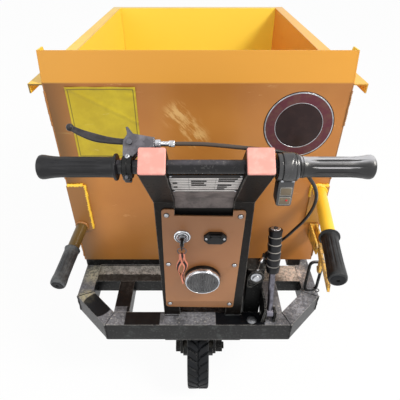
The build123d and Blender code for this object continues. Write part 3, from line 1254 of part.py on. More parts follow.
def battery_tray():
    """Sheet tray hung between the stringers, with a low lip in front and behind."""
    reach = STRINGER_X - TUBE_WIDTH / 2
    low = FRAME_TOP - LOW_TUBE_HEIGHT - TRAY_DROP
    rear = BATTERY_Y - TRAY_MARGIN
    front = BATTERY_Y + 2 * BATTERY[1] + BATTERY_GAP + TRAY_MARGIN
    tray = block((-reach, reach), (rear, front), (low, low + TRAY_SHEET))
    for side in ((-reach, TRAY_SHEET - reach), (reach - TRAY_SHEET, reach)):
        tray += block(side, (rear, front), (low, FRAME_TOP - TRAY_SHEET))
    for depth in ((rear, rear + TRAY_SHEET), (front - TRAY_SHEET, front)):
        tray += block((-reach, reach), depth, (low, low + TRAY_LIP))
    return tray


def batteries():
    """Four batteries in two rows, each with two terminals."""
    width, depth, height = BATTERY
    floor = FRAME_TOP - LOW_TUBE_HEIGHT - TRAY_DROP + TRAY_SHEET
    cells = []
    top = floor + height
    for across in (-width - BATTERY_GAP / 2, BATTERY_GAP / 2):
        for along in (BATTERY_Y, BATTERY_Y + depth + BATTERY_GAP):
            cell = block((across, across + width), (along, along + depth), (floor, top))
            for share in TERMINAL_SHARES:
                place = (across + width * share, along + depth / 2)
                cell += rod((*place, top), (*place, top + TERMINAL_HEIGHT), TERMINAL_R)
            cells.append(cell)
    return cells


# Hopper

def chute_line():
    """The outer line of the front wall from the floor to the rim."""
    return [(CHUTE_START_Y, HOPPER_FLOOR_Z), (HOPPER_FRONT_Y, HOPPER_RIM_Z - FRONT_UPRIGHT),
            (HOPPER_FRONT_Y, HOPPER_RIM_Z)]


def hopper_front_wall():
    inside = HOPPER_HALF_WIDTH - SHEET
    return prism(folded_sheet(chute_line(), SHEET), Plane.YZ, -inside, inside)


def hopper_floor():
    inside = HOPPER_HALF_WIDTH - SHEET
    (start_y, start_z), (end_y, end_z) = chute_line()[:2]
    front_top = start_y + FLOOR_SHEET * (end_y - start_y) / (end_z - start_z)
    rear = HOPPER_REAR_Y + SHEET
    outline = [(rear, HOPPER_FLOOR_Z), (start_y, HOPPER_FLOOR_Z), (front_top, HOPPER_FLOOR_Z + FLOOR_SHEET),
               (rear, HOPPER_FLOOR_Z + FLOOR_SHEET)]
    return prism(outline, Plane.YZ, -inside, inside) - hopper_front_wall()


def hopper_sides():
    outline = [(HOPPER_REAR_Y, HOPPER_FLOOR_Z)] + chute_line() + [(HOPPER_REAR_Y, HOPPER_RIM_Z)]
    side = prism(outline, Plane.YZ, HOPPER_HALF_WIDTH - SHEET, HOPPER_HALF_WIDTH)
    return [mirrored(side), side]


def hopper_rear_wall():
    """Rear wall with the raised band folded from it, and a gusset at each end of the band."""
    inside = HOPPER_HALF_WIDTH - SHEET
    band_top = HOPPER_RIM_Z + BAND_HEIGHT
    band_y = HOPPER_REAR_Y + BAND_LEAN
    line = [(band_y, band_top), (HOPPER_REAR_Y, HOPPER_RIM_Z), (HOPPER_REAR_Y, HOPPER_FLOOR_Z)]
    wall = prism(folded_sheet(line, SHEET), Plane.YZ, -inside, inside)
    outline = [(HOPPER_REAR_Y, HOPPER_RIM_Z), (band_y, band_top), (band_y + GUSSET_TOP, band_top),
               (HOPPER_REAR_Y + GUSSET_FOOT, HOPPER_RIM_Z)]
    gusset = prism(outline, Plane.YZ, inside, HOPPER_HALF_WIDTH)
    return [wall, gusset, mirrored(gusset)]


def hopper_rims():
    """Outward flanges with a lip turned down, on both sides and the front."""
    edge = HOPPER_HALF_WIDTH + RIM_WIDTH
    under = HOPPER_RIM_Z - SHEET
    low = HOPPER_RIM_Z - RIM_LIP
    section = [(HOPPER_HALF_WIDTH, HOPPER_RIM_Z), (edge, HOPPER_RIM_Z), (edge, low), (edge - SHEET, low),
               (edge - SHEET, under), (HOPPER_HALF_WIDTH, under)]
    side = prism(section, Plane.XZ, -FRONT_END, -HOPPER_REAR_Y)
    front = block((-HOPPER_HALF_WIDTH, HOPPER_HALF_WIDTH), (HOPPER_FRONT_Y, FRONT_END), (under, HOPPER_RIM_Z))
    front += block((SHEET - edge, edge - SHEET), (FRONT_END - SHEET, FRONT_END), (low, under))
    return [mirrored(side), side, front]


def hopper_hinge_ears():
    """Plates under the floor with an eye on each hinge pin."""
    half = HINGE_EAR_WIDTH / 2
    outline = [(HINGE_Y - HINGE_EYE_R, HINGE_Z), (HINGE_Y + HINGE_EYE_R, HINGE_Z),
               (CHUTE_START_Y, HOPPER_FLOOR_Z), (HINGE_Y - HINGE_EYE_R, HOPPER_FLOOR_Z)]
    ears = []
    for side in (-STRINGER_X, STRINGER_X):
        low = (side - half, HINGE_Y, HINGE_Z)
        high = (side + half, HINGE_Y, HINGE_Z)
        ear = prism(outline, Plane.YZ, side - half, side + half) + rod(low, high, HINGE_EYE_R)
        ears.append(ear - rod(low, high, HINGE_PIN_R + RUNNING_FIT))
    return ears


def handle_direction(angles):
    """The way a tipping handle points, from its degrees sideways and upwards."""
    sideways, upwards = [math.radians(angle) for angle in angles]
    return Vector(math.sin(sideways), -math.cos(sideways) * math.cos(upwards), math.sin(upwards)).normalized()


def handle_foot(place):
    across, rise = place
    return Vector(across, HOPPER_REAR_Y - HANDLE_PLATE[1], FRAME_TOP + rise)


def tipping_handles():
    """Tube handles, each welded to a plate on the rear wall."""
    width, thick = HANDLE_PLATE
    handles = []
    plate_feet = (LEFT_PLATE_FOOT_RISE, RIGHT_PLATE_FOOT_RISE)
    for (place, length, angles), foot_rise in zip((LEFT_HANDLE, RIGHT_HANDLE), plate_feet):
        direction = handle_direction(angles)
        foot = handle_foot(place)
        middle = math.copysign(HOPPER_HALF_WIDTH - width / 2, foot.X)
        plate = block((middle - width / 2, middle + width / 2), (HOPPER_REAR_Y - thick, HOPPER_REAR_Y),
                      (FRAME_TOP + foot_rise, FRAME_TOP + PLATE_TOP_RISE))
        tube = rod(foot - direction * (thick / 2), foot + direction * length, HANDLE_R)
        tube -= rod(foot + direction * thick, foot + direction * length, HANDLE_R - HANDLE_WALL)
        handles.append(plate + tube)
    return handles


def tipping_grips():
    grips = []
    for (place, length, angles), flange_r in zip((LEFT_HANDLE, RIGHT_HANDLE), HANDLE_FLANGE_R):
        frame = Plane(origin=handle_foot(place), x_dir=ACROSS, z_dir=handle_direction(angles))
        start = length - HANDLE_GRIP_LENGTH
        neck = start + GRIP_FLANGE
        inner_end = length + FIXED_FIT
        end = inner_end + GRIP_END
        bore = HANDLE_R + FIXED_FIT
        outline = [(bore, start), (flange_r, start), (flange_r, neck), (HANDLE_GRIP_R, neck + GRIP_STEP),
                   (HANDLE_GRIP_R, end - GRIP_EDGE), (HANDLE_GRIP_R - GRIP_EDGE, end), (0, end),
                   (0, inner_end), (bore, inner_end)]
        grips.append(lathe(outline, frame))
    return grips


def latch_bracket():
    """Two cheeks on the rear wall with the latch's pin fixed through them."""
    y, z = LATCH_PIVOT.Y, LATCH_PIVOT.Z
    near = LATCH_SHEET / 2 + CHEEK_GAP
    far = near + CHEEK
    back, up, down = BRACKET_NOSE
    low, high = z - BRACKET_LOW, z + BRACKET_TOP
    outline = [(y - back, z - down), (HOPPER_REAR_Y, low), (HOPPER_REAR_Y, high), (y, z + down),
               (y - back, z + up)]
    pin_reach = far + LATCH_PIN_PROUD
    bracket = rod((LATCH_X - pin_reach, y, z), (LATCH_X + pin_reach, y, z), LATCH_PIN_R)
    for start in (LATCH_X - far, LATCH_X + near):
        bracket += prism(outline, Plane.YZ, start, start + CHEEK)
    base = (HOPPER_REAR_Y - CHEEK, HOPPER_REAR_Y)
    return bracket + block((LATCH_X - far, LATCH_X + far), base, (low, high))


def latch_lever():
    """Hook that drops behind the hoop and the trigger strip below the right tipping grip, shown released."""
    y, z = LATCH_PIVOT.Y, LATCH_PIVOT.Z
    half = LATCH_SHEET / 2
    nose_top = FRAME_TOP + HOOP_RISE - HOOP_R - NOSE_DROP
    nose_tip = HOOP_Y - HOOP_R + LATCH_HOLD
    foot = nose_top - NOSE_ROOT
    front = HOOP_Y - HOOP_R - WORKING_GAP
    rear = front - LATCH_TONGUE
    heel_in, heel_up = HEEL
    hook = [(y, z - LATCH_EYE_R), (front, z - 2 * LATCH_EYE_R), (front, nose_top), (nose_tip, nose_top),
            (nose_tip, nose_top - NOSE_THICK), (front, foot), (rear + heel_in, foot), (rear, foot + heel_up),
            (rear, z - LATCH_EYE_R / 2), (y, z + LATCH_EYE_R)]
    lever = prism(hook, Plane.YZ, LATCH_X - half, LATCH_X + half)
    lever += rod((LATCH_X - half, y, z), (LATCH_X + half, y, z), LATCH_EYE_R)
    trigger_end = (TRIGGER_END[0], TRIGGER_END[1], FRAME_TOP + TRIGGER_END[2])
    lever += strip(LATCH_PIVOT, trigger_end, TRIGGER_THICK, TRIGGER_HEIGHT)
    lever -= rod((LATCH_X - LATCH_EYE_R, y, z), (LATCH_X + LATCH_EYE_R, y, z), LATCH_PIN_R + RUNNING_FIT)
    return lever.rotate(Axis(LATCH_PIVOT, ACROSS), -LATCH_RELEASED)


# Nodes, in the order of the moving bodies they belong to

right_half_shaft = half_shaft()
right_rim = wheel_rim()
right_tyre = wheel_tyre()

NODES = {
    "rear_loop": rear_loop(),
    "side_rails": side_rails(),
    "crossbars": [middle_crossbar(), front_crossbar()] + hopper_bearers(),
    "stringers": stringers() + column_bearers(),
    "rest_pads": rest_pads(),
    "latch_hoop": latch_hoop(),
    "hinge_lugs": hinge_lugs(),
    "hinge_pins": hinge_pins(),
    "column_posts": column_posts(),
    "post_caps": post_caps(),
    "control_box": console_and_box(),
    "control_panel": control_panel(),
    "panel_screws": panel_screws(),
    "ignition_switch": ignition_switch(),
    "charging_socket": charging_socket(),
    "lamp_housing": lamp_housing(),
    "lamp_lens": lamp_lens(),
    "motor_controller": motor_controller(),
    "battery_tray": battery_tray(),
    "batteries": batteries(),
    "handlebar": handlebar(),
    "left_grip": left_grip(),
    "brake_perch": brake_perch(),
    "cable_adjuster": cable_adjuster(),
    "brake_cable": brake_cable(),
    "throttle_housing": throttle_housing(),
    "brake_post": brake_post(),
    "ratchet_bracket": ratchet_bracket(),
    "caster_plate": caster_plate(),
    "axle_housing": axle_housing(),
    "drive_motor": drive_motor(),
    "axle_saddles": axle_saddles(),
    "hopper_floor": hopper_floor(),
    "hopper_sides": hopper_sides(),
    "hopper_front_wall": hopper_front_wall(),
    "hopper_rear_wall": hopper_rear_wall(),
    "hopper_rims": hopper_rims(),
    "hopper_hinge_ears": hopper_hinge_ears(),
    "tipping_handles": tipping_handles(),
    "tipping_grips": tipping_grips(),
    "latch_bracket": latch_bracket(),
    "latch_lever": latch_lever(),
    "caster_fork": caster_fork(),
    "caster_axle": caster_axle(),
    "caster_rim": caster_rim(),
    "caster_tyre": caster_tyre(),
    "left_half_shaft": mirrored(right_half_shaft),
    "left_wheel_rim": mirrored(right_rim),
    "left_wheel_tyre": mirrored(right_tyre),
    "right_half_shaft": right_half_shaft,
    "right_wheel_rim": right_rim,
    "right_wheel_tyre": right_tyre,
    "throttle_grip": throttle_grip(),
    "brake_lever": brake_lever(),
    "brake_crank": brake_crank(),
    "parking_lever": [parking_lever(), parking_grip()],
    "parking_button": parking_button(),
    "ignition_key": ignition_key(),
    "key_fob": key_fob(),
    "socket_flap": socket_flap(),
}

os.makedirs("parts", exist_ok=True)
SOLIDS = {}
for name, shape in NODES.items():
    pieces = shape if isinstance(shape, list) else [shape]
    SOLIDS[name] = [solid for piece in pieces for solid in piece.solids()]
boxes = [solid.bounding_box() for solids in SOLIDS.values() for solid in solids]
MIDDLE_Y = (min(box.min.Y for box in boxes) + max(box.max.Y for box in boxes)) / 2
for name, unshifted in SOLIDS.items():
    solids = [Pos(0, -MIDDLE_Y, 0) * solid for solid in unshifted]
    print(name, len(solids), round(sum(solid.volume for solid in solids)))
    export_step(solids[0] if len(solids) == 1 else Compound(children=solids), f"parts/{name}.step")

# Joint places in the finished frame, in metres
key_frame = panel_frame(KEY_PLACE)
flap_up, flap_out = flap_hinge()
PIVOTS = {
    "hopper_tip": Vector(0, HINGE_Y, HINGE_Z),
    "latch": LATCH_PIVOT,
    "caster_swivel": Vector(0, SWIVEL_Y, CASTER_PLATE_Z),
    "caster_spin": Vector(0, CASTER_AXLE_Y, CASTER_WHEEL_R),
    "left_wheel": Vector(-WHEEL_INNER_X - WHEEL_WIDTH / 2, AXLE_Y, WHEEL_R),
    "right_wheel": Vector(WHEEL_INNER_X + WHEEL_WIDTH / 2, AXLE_Y, WHEEL_R),
    "throttle": Vector(COLUMN_X + GRIP_START, BAR.Y, BAR.Z),
    "brake_lever": LEVER_PLANE.from_local_coords((*LEVER_PIVOT, 0)),
    "brake_crank": CRANK_PIVOT,
    "parking_lever": PARK_PIVOT,
    "parking_button": PARK_PIVOT + PARK_UP * PARK_GRIP_END,
    "ignition_key": key_frame.origin,
    "key_fob": key_frame.from_local_coords((0, *key_hole())),
    "socket_flap": panel_frame(SOCKET_PLACE).from_local_coords((0, flap_up, flap_out)),
}
for name, place in PIVOTS.items():
    print(name, [round(value / 1000, 5) for value in (place.X, place.Y - MIDDLE_Y, place.Z)])
print("key axis", PANEL_PLANE.z_dir, "flap axis", PANEL_PLANE.x_dir)
print("lever axis", LEVER_FACE, "button axis", PARK_UP)
print("moved along Y by", round(-MIDDLE_Y, 3), "lowest", round(min(box.min.Z for box in boxes), 3))
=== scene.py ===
# %% [markdown]
# A power barrow, dressed for its photograph.
# The barrow comes in as a frame of named parts that already have their true sizes and places. This
# lesson gives them paint, rubber, chrome and dust, and swaps the soft or finely moulded ones for richer
# pieces. Lengths are written in millimetres, as a workshop drawing would have them.

# %% Load the barrow
import math

import bmesh
import bpy
from mathutils import Matrix, Vector, noise


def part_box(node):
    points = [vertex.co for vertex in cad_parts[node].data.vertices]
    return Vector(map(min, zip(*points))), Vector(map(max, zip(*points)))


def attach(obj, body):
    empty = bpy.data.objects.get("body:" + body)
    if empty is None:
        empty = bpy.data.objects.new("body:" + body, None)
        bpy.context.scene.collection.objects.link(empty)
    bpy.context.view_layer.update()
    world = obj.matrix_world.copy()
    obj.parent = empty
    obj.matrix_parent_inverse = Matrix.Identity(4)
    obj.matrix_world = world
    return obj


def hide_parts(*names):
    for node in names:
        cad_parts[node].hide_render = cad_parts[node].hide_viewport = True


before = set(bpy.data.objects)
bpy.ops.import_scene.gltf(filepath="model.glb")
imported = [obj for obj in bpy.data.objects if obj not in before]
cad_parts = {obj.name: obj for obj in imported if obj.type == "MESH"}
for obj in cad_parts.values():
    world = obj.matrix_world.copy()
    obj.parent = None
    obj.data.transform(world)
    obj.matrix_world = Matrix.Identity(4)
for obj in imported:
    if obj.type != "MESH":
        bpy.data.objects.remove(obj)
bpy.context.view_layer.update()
MM = 0.001
REAR_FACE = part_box("rear_loop")[0].y
FRAME_TOP = 350.0


def drawn(x, y, z):
    """A place on the drawing (across, forward of the rear crossbar, up) as a place in the scene."""
    return Vector((x * MM, REAR_FACE + y * MM, z * MM))


def added(name, data):
    """A new object in the scene."""
    thing = bpy.data.objects.new(name, data)
    bpy.context.scene.collection.objects.link(thing)
    return thing


# %% [markdown]
# The photographer stood behind the handlebar and looked down into the hopper with a wide lens. A camera
# that is a metre or so away from the barrow gives the strong taper of the picture: the handlebar is
# wide and the hopper rim behind it is narrow. The numbers come from matching corners of the barrow with
# the picture.

# %% Camera
EYE = drawn(0, -574, 1150)
LOOK_DOWN = math.radians(35.75)
FOCAL_SHARE = 0.93          # focal length as a share of the picture's width
SENSOR = 36.0
SIDE_SHIFT = 0.005          # the barrow stands a hair left of the picture's middle

camera_data = bpy.data.cameras.new("picture_camera")
camera_data.sensor_width = SENSOR
camera_data.lens = SENSOR * FOCAL_SHARE
camera_data.shift_x = SIDE_SHIFT
camera = added("picture_camera", camera_data)
camera.location = EYE
camera.rotation_euler = (math.pi / 2 - LOOK_DOWN, 0, 0)
bpy.context.scene.camera = camera
bpy.context.scene.view_settings.view_transform = "Standard"
print("camera at", [round(value, 3) for value in camera.location])

# %% [markdown]
# The brake cable is a black plastic sheath on a coiled steel liner. It leaves the chromed adjuster beside
# the lever, runs along the handlebar, swings out in one loop to the right, dips behind the parking grip and
# ends in its stop beside the brake crank. A smooth spline through a few given points bends as the stiff
# sheath does, so the points here are the same as those of the part.

# %% Brake cable
CABLE_ROUTE = [
    (-34.8, -68.1, 890.4), (0.0, -67.5, 890.4), (36.0, -69.0, 888.0), (72.0, -71.5, 885.0),
    (106.0, -70.0, 881.0), (136.0, -62.0, 872.0), (163.0, -56.5, 856.0), (183.8, -46.0, 819.4),
    (208.0, -26.0, 783.9), (224.2, -3.0, 743.6), (229.9, 21.0, 698.2), (227.0, 44.0, 651.3),
    (214.5, 66.0, 604.0), (206.0, 82.0, 570.0), (190.9, 97.1, 536.0), (175.3, 91.5, 521.1),
    (150.5, 60.2, 513.0)]
CABLE_RADIUS = 3.25


def smooth_line(name, places, radius):
    """A round line that bends smoothly past its places."""
    curve = bpy.data.curves.new(name, "CURVE")
    curve.dimensions = "3D"
    spline = curve.splines.new("NURBS")
    spline.points.add(len(places) - 1)
    for point, place in zip(spline.points, places):
        point.co = (*place, 1.0)
        point.radius = radius
    spline.order_u = 3
    spline.use_endpoint_u = True
    spline.resolution_u = 8
    curve.bevel_depth = 1.0          # times the radius of each point
    curve.bevel_resolution = 5
    curve.use_fill_caps = True
    return added(name, curve)


cable_places = [drawn(*place) for place in CABLE_ROUTE]
cable = smooth_line("brake_cable_sheath", cable_places, CABLE_RADIUS * MM)
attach(cable, "chassis")
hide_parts("brake_cable")
print("brake cable through", len(cable_places), "places")

# %% [markdown]
# A plain pale floor and a soft sky stand in for the studio. Sky and floor are white where the camera, a
# mirror or glass looks at them, and quieter where they only shed light, so that the paint keeps the
# colour it is given. The floor keeps a share of its own shading, which is the shadow under the barrow.
# A wide lamp high on the right makes the left wall of the hopper the brightest, as in the picture.

# %% Floor, sky and lamps
FLOOR_HALF = 30.0
FLOOR_COLOUR = (0.9, 0.9, 0.89, 1.0)
FLOOR_ROUGHNESS = 0.9
FLOOR_WHITE = 0.95          # share of plain white in what the camera sees of the floor
SKY_STRENGTH = 0.6
SKY_COLOUR = (0.94, 0.97, 1.0, 1.0)
WHITE = (1.0, 1.0, 1.0, 1.0)
WARM_LIGHT = (1.0, 0.96, 0.9)


def lit_and_seen(tree, lit, seen, share=1.0):
    """A shader for light that only falls on things, mixed with one for what is looked at or mirrored."""
    nodes, links = tree.nodes, tree.links
    rays = nodes.new("ShaderNodeLightPath")
    looked_at = rays.outputs["Is Camera Ray"]
    for kind in ("Is Glossy Ray", "Is Transmission Ray"):
        either = nodes.new("ShaderNodeMath")
        either.operation = "MAXIMUM"
        links.new(looked_at, either.inputs[0])
        links.new(rays.outputs[kind], either.inputs[1])
        looked_at = either.outputs[0]
    part = nodes.new("ShaderNodeMath")
    part.operation = "MULTIPLY"
    part.inputs[1].default_value = share
    links.new(looked_at, part.inputs[0])
    mix = nodes.new("ShaderNodeMixShader")
    for socket, node in zip(mix.inputs, (part, lit, seen)):
        links.new(node.outputs[0], socket)
    return mix.outputs[0]


floor_mesh = bpy.data.meshes.new("floor")
floor_mesh.from_pydata([(-FLOOR_HALF, -FLOOR_HALF, 0), (FLOOR_HALF, -FLOOR_HALF, 0),
                        (FLOOR_HALF, FLOOR_HALF, 0), (-FLOOR_HALF, FLOOR_HALF, 0)], [], [(0, 1, 2, 3)])
added("floor", floor_mesh)
floor_finish = bpy.data.materials.new("studio_floor")
floor_finish.use_nodes = True
floor_tree = floor_finish.node_tree
floor_shader = floor_tree.nodes["Principled BSDF"]
floor_shader.inputs["Base Color"].default_value = FLOOR_COLOUR
floor_shader.inputs["Roughness"].default_value = FLOOR_ROUGHNESS
floor_glow = floor_tree.nodes.new("ShaderNodeEmission")
floor_mix = lit_and_seen(floor_tree, floor_shader, floor_glow, FLOOR_WHITE)
floor_tree.links.new(floor_mix, floor_tree.nodes["Material Output"].inputs["Surface"])
floor_mesh.materials.append(floor_finish)

sky = bpy.data.worlds.new("studio_sky")
sky.use_nodes = True
bpy.context.scene.world = sky
sky_tree = sky.node_tree
sky_tree.nodes.clear()
sky_out = sky_tree.nodes.new("ShaderNodeOutputWorld")
sky_light = sky_tree.nodes.new("ShaderNodeBackground")
sky_light.inputs["Color"].default_value = SKY_COLOUR
sky_light.inputs["Strength"].default_value = SKY_STRENGTH
sky_seen = sky_tree.nodes.new("ShaderNodeBackground")
sky_seen.inputs["Color"].default_value = WHITE
sky_tree.links.new(lit_and_seen(sky_tree, sky_light, sky_seen), sky_out.inputs["Surface"])


def soft_lamp(name, place, target, size, power, colour=(1.0, 1.0, 1.0)):
    """A square area lamp that faces its target."""
    data = bpy.data.lights.new(name, "AREA")
    data.size = size
    data.energy = power
    data.color = colour
    lamp = added(name, data)
    lamp.location = place
    lamp.rotation_euler = (Vector(target) - Vector(place)).to_track_quat("-Z", "Y").to_euler()


soft_lamp("key_lamp", (2.3, -1.5, 3.3), target=(0, 0.1, 0.5), size=1.0, power=120.0, colour=WARM_LIGHT)
soft_lamp("fill_lamp", (-1.8, -2.6, 2.4), target=(0, 0, 0.6), size=2.4, power=22.0)
print("floor, sky and two lamps ready")

# %% [markdown]
# Every finish starts from the same shader and adds what time has done to it. The small kit below keeps
# those steps readable: a blotchy or streaky pattern, a threshold that turns a pattern into patches, a
# mask for edges where paint rubs off first, and a bump for texture that is too fine to model.

# %% A kit for finishes
def tone(red, green, blue):
    """A colour as a paint card gives it, from 0 to 255, in the shader's own scale."""
    def straight(value):
        share = value / 255.0
        return share / 12.92 if share <= 0.04045 else ((share + 0.055) / 1.055) ** 2.4
    return (straight(red), straight(green), straight(blue), 1.0)


class Finish:
    """A material in the making: each method adds one step and returns its output."""

    def __init__(self, name, colour, roughness, metal=0.0, gloss=0.5):
        self.material = bpy.data.materials.new(name)
        self.material.use_nodes = True
        self.nodes = self.material.node_tree.nodes
        self.links = self.material.node_tree.links
        self.shader = self.nodes["Principled BSDF"]
        self.set(**{"Base Color": colour, "Roughness": roughness, "Metallic": metal,
                    "Specular IOR Level": gloss})
        coordinates = self.nodes.new("ShaderNodeTexCoord").outputs
        self.place = coordinates["Object"]
        self.facing = coordinates["Normal"]         # the piece's own, so that it keeps its dust when it tips
        self.geometry = self.nodes.new("ShaderNodeNewGeometry")
        self.relief = None

    def set(self, **values):
        """Sets sockets of the shader to fixed values."""
        for name, value in values.items():
            self.shader.inputs[name].default_value = value

    def feed(self, name, output):
        """Joins an output to a socket of the shader."""
        self.links.new(output, self.shader.inputs[name])

    def put(self, socket, value):
        """Joins an output to a socket, or writes a fixed value there."""
        if isinstance(value, bpy.types.NodeSocket):
            self.links.new(value, socket)
        else:
            socket.default_value = value

    def stretched(self, scale, shift=(0, 0, 0), turn=0.0):
        """The place on the piece, turned about the long axis, then stretched and shifted."""
        place = self.place
        if turn:
            slant = self.nodes.new("ShaderNodeMapping")
            slant.inputs["Rotation"].default_value = (0, turn, 0)
            self.links.new(place, slant.inputs["Vector"])
            place = slant.outputs[0]
        node = self.nodes.new("ShaderNodeMapping")
        node.inputs["Scale"].default_value = scale
        node.inputs["Location"].default_value = shift
        self.links.new(place, node.inputs["Vector"])
        return node.outputs[0]

    def blotches(self, size, detail=4.0, rough=0.55, along=(1, 1, 1), shift=0.0, turn=0.0):
        """Cloudy pattern whose patches are about size millimetres wide, turned about the long axis."""
        node = self.nodes.new("ShaderNodeTexNoise")
        node.inputs["Scale"].default_value = 1.0 / (size * MM)
        node.inputs["Detail"].default_value = detail
        node.inputs["Roughness"].default_value = rough
        self.links.new(self.stretched(along, (shift, shift, shift), turn), node.inputs["Vector"])
        return node.outputs["Fac"]

    def cells(self, size):
        """Grainy pattern of cells about size millimetres wide."""
        node = self.nodes.new("ShaderNodeTexVoronoi")
        node.inputs["Scale"].default_value = 1.0 / (size * MM)
        self.links.new(self.place, node.inputs["Vector"])
        return node.outputs["Distance"]

    def patches(self, value, low, high):
        """Nothing below low, everything above high, smooth between."""
        node = self.nodes.new("ShaderNodeMapRange")
        node.interpolation_type = "SMOOTHSTEP"
        node.inputs["From Min"].default_value = low
        node.inputs["From Max"].default_value = high
        self.links.new(value, node.inputs["Value"])
        return node.outputs["Result"]

    def stains(self, size, start, full, detail=4.0, rough=0.55, shift=0.0):
        """Patches where a cloudy pattern passes start, whole where it passes full."""
        return self.patches(self.blotches(size, detail, rough, shift=shift), start, full)

    def scaled(self, value, low, high):
        """A pattern from 0 to 1 spread between two numbers."""
        node = self.nodes.new("ShaderNodeMapRange")
        node.inputs["To Min"].default_value = low
        node.inputs["To Max"].default_value = high
        self.links.new(value, node.inputs["Value"])
        return node.outputs["Result"]

    def reckon(self, operation, first, second):
        """Two patterns or numbers put together, with the result kept between 0 and 1."""
        node = self.nodes.new("ShaderNodeMath")
        node.operation = operation
        node.use_clamp = True
        self.put(node.inputs[0], first)
        self.put(node.inputs[1], second)
        return node.outputs[0]

    def both(self, first, second):
        return self.reckon("MULTIPLY", first, second)

    def either(self, first, second):
        return self.reckon("MAXIMUM", first, second)

    def all_but(self, share):
        """What a share leaves over."""
        return self.reckon("SUBTRACT", 1.0, share)

    def mixed(self, share, first, second):
        """Two colours, or two patterns of colour, by a share."""
        node = self.nodes.new("ShaderNodeMix")
        node.data_type = "RGBA"
        self.put(node.inputs[0], share)
        self.put(node.inputs[6], first)
        self.put(node.inputs[7], second)
        return node.outputs[2]

    def laid(self, mask, share, under, over):
        """One colour laid over another where a mask is, as thick as a share."""
        return self.mixed(self.both(mask, share), under, over)

    def part(self, output, axis):
        """One coordinate of a vector."""
        node = self.nodes.new("ShaderNodeSeparateXYZ")
        self.links.new(output, node.inputs[0])
        return node.outputs[axis]

    def facing_up(self, low=0.6, high=0.95):
        """One on faces that look up, where dust settles."""
        return self.patches(self.part(self.facing, "Z"), low, high)

    def facing_back(self, axis):
        """One on faces that look backwards along an axis."""
        return self.reckon("MULTIPLY", self.part(self.facing, axis), -1.0)

    def above(self, axis, low, high):
        """Nothing below one place along an axis, everything above another, in millimetres."""
        return self.patches(self.part(self.place, axis), low * MM, high * MM)

    def between(self, axis, low, high):
        """One between two places along an axis, in millimetres."""
        past_low, past_high = (self.above(axis, limit - 1.0, limit + 1.0) for limit in (low, high))
        return self.reckon("SUBTRACT", past_low, past_high)

    def on_right(self):
        """One on the right half of the barrow."""
        return self.above("X", 0.0, 1.0)

    def near(self, place, reach):
        """One at a place, fading to nothing at a distance in millimetres."""
        node = self.nodes.new("ShaderNodeVectorMath")
        node.operation = "DISTANCE"
        self.links.new(self.place, node.inputs[0])
        node.inputs[1].default_value = place
        return self.all_but(self.patches(node.outputs["Value"], 0.2 * reach * MM, reach * MM))

    def softened(self, radius):
        """The way the surface would face if its edges were round."""
        soft = self.nodes.new("ShaderNodeBevel")
        soft.samples = 4
        soft.inputs["Radius"].default_value = radius * MM
        return soft.outputs[0]

    def edges(self, radius):
        """One on the sharp edges of the piece, where the softened surface faces another way."""
        dot = self.nodes.new("ShaderNodeVectorMath")
        dot.operation = "DOT_PRODUCT"
        self.links.new(self.softened(radius), dot.inputs[0])
        self.links.new(self.geometry.outputs["Normal"], dot.inputs[1])
        return self.patches(self.all_but(dot.outputs["Value"]), 0.03, 0.25)

    def rounded(self, radius):
        """Softens the light on sharp edges, as a rolled or cut edge does."""
        self.relief = self.softened(radius)

    def bump(self, height, depth, strength=1.0):
        """Relief about depth millimetres deep."""
        node = self.nodes.new("ShaderNodeBump")
        node.inputs["Strength"].default_value = strength
        node.inputs["Distance"].default_value = depth * MM
        self.links.new(height, node.inputs["Height"])
        if self.relief is not None:
            self.links.new(self.relief, node.inputs["Normal"])
        self.relief = node.outputs[0]

    def done(self):
        """Joins the relief to the shader and hands the material back."""
        if self.relief is not None:
            self.links.new(self.relief, self.shader.inputs["Normal"])
        return self.material


def coat(finish, *nodes):
    """Gives a finish to parts of the frame."""
    for node in nodes:
        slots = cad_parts[node].material_slots
        for place in slots:
            place.material = finish
        if not slots:
            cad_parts[node].data.materials.append(finish)


print("finish kit ready")

# %% [markdown]
# The hopper wears orange-yellow paint sprayed over welded sheet. It isn't one colour: the coat is a little
# thick and thin, gravel has scuffed it in short pale strokes, and the edges are rubbed to primer. A painted
# image could show that, but it would blur on walls this big. Layers of noise stay sharp at any size, so the
# recipe mixes wide clouds, stretched strokes, specks and grime. A fine bump gives the orange-peel skin of
# sprayed paint.

# %% A recipe for sprayed paint
GRIME_BROWN = tone(92, 62, 30)
PRIMER = tone(206, 168, 110)


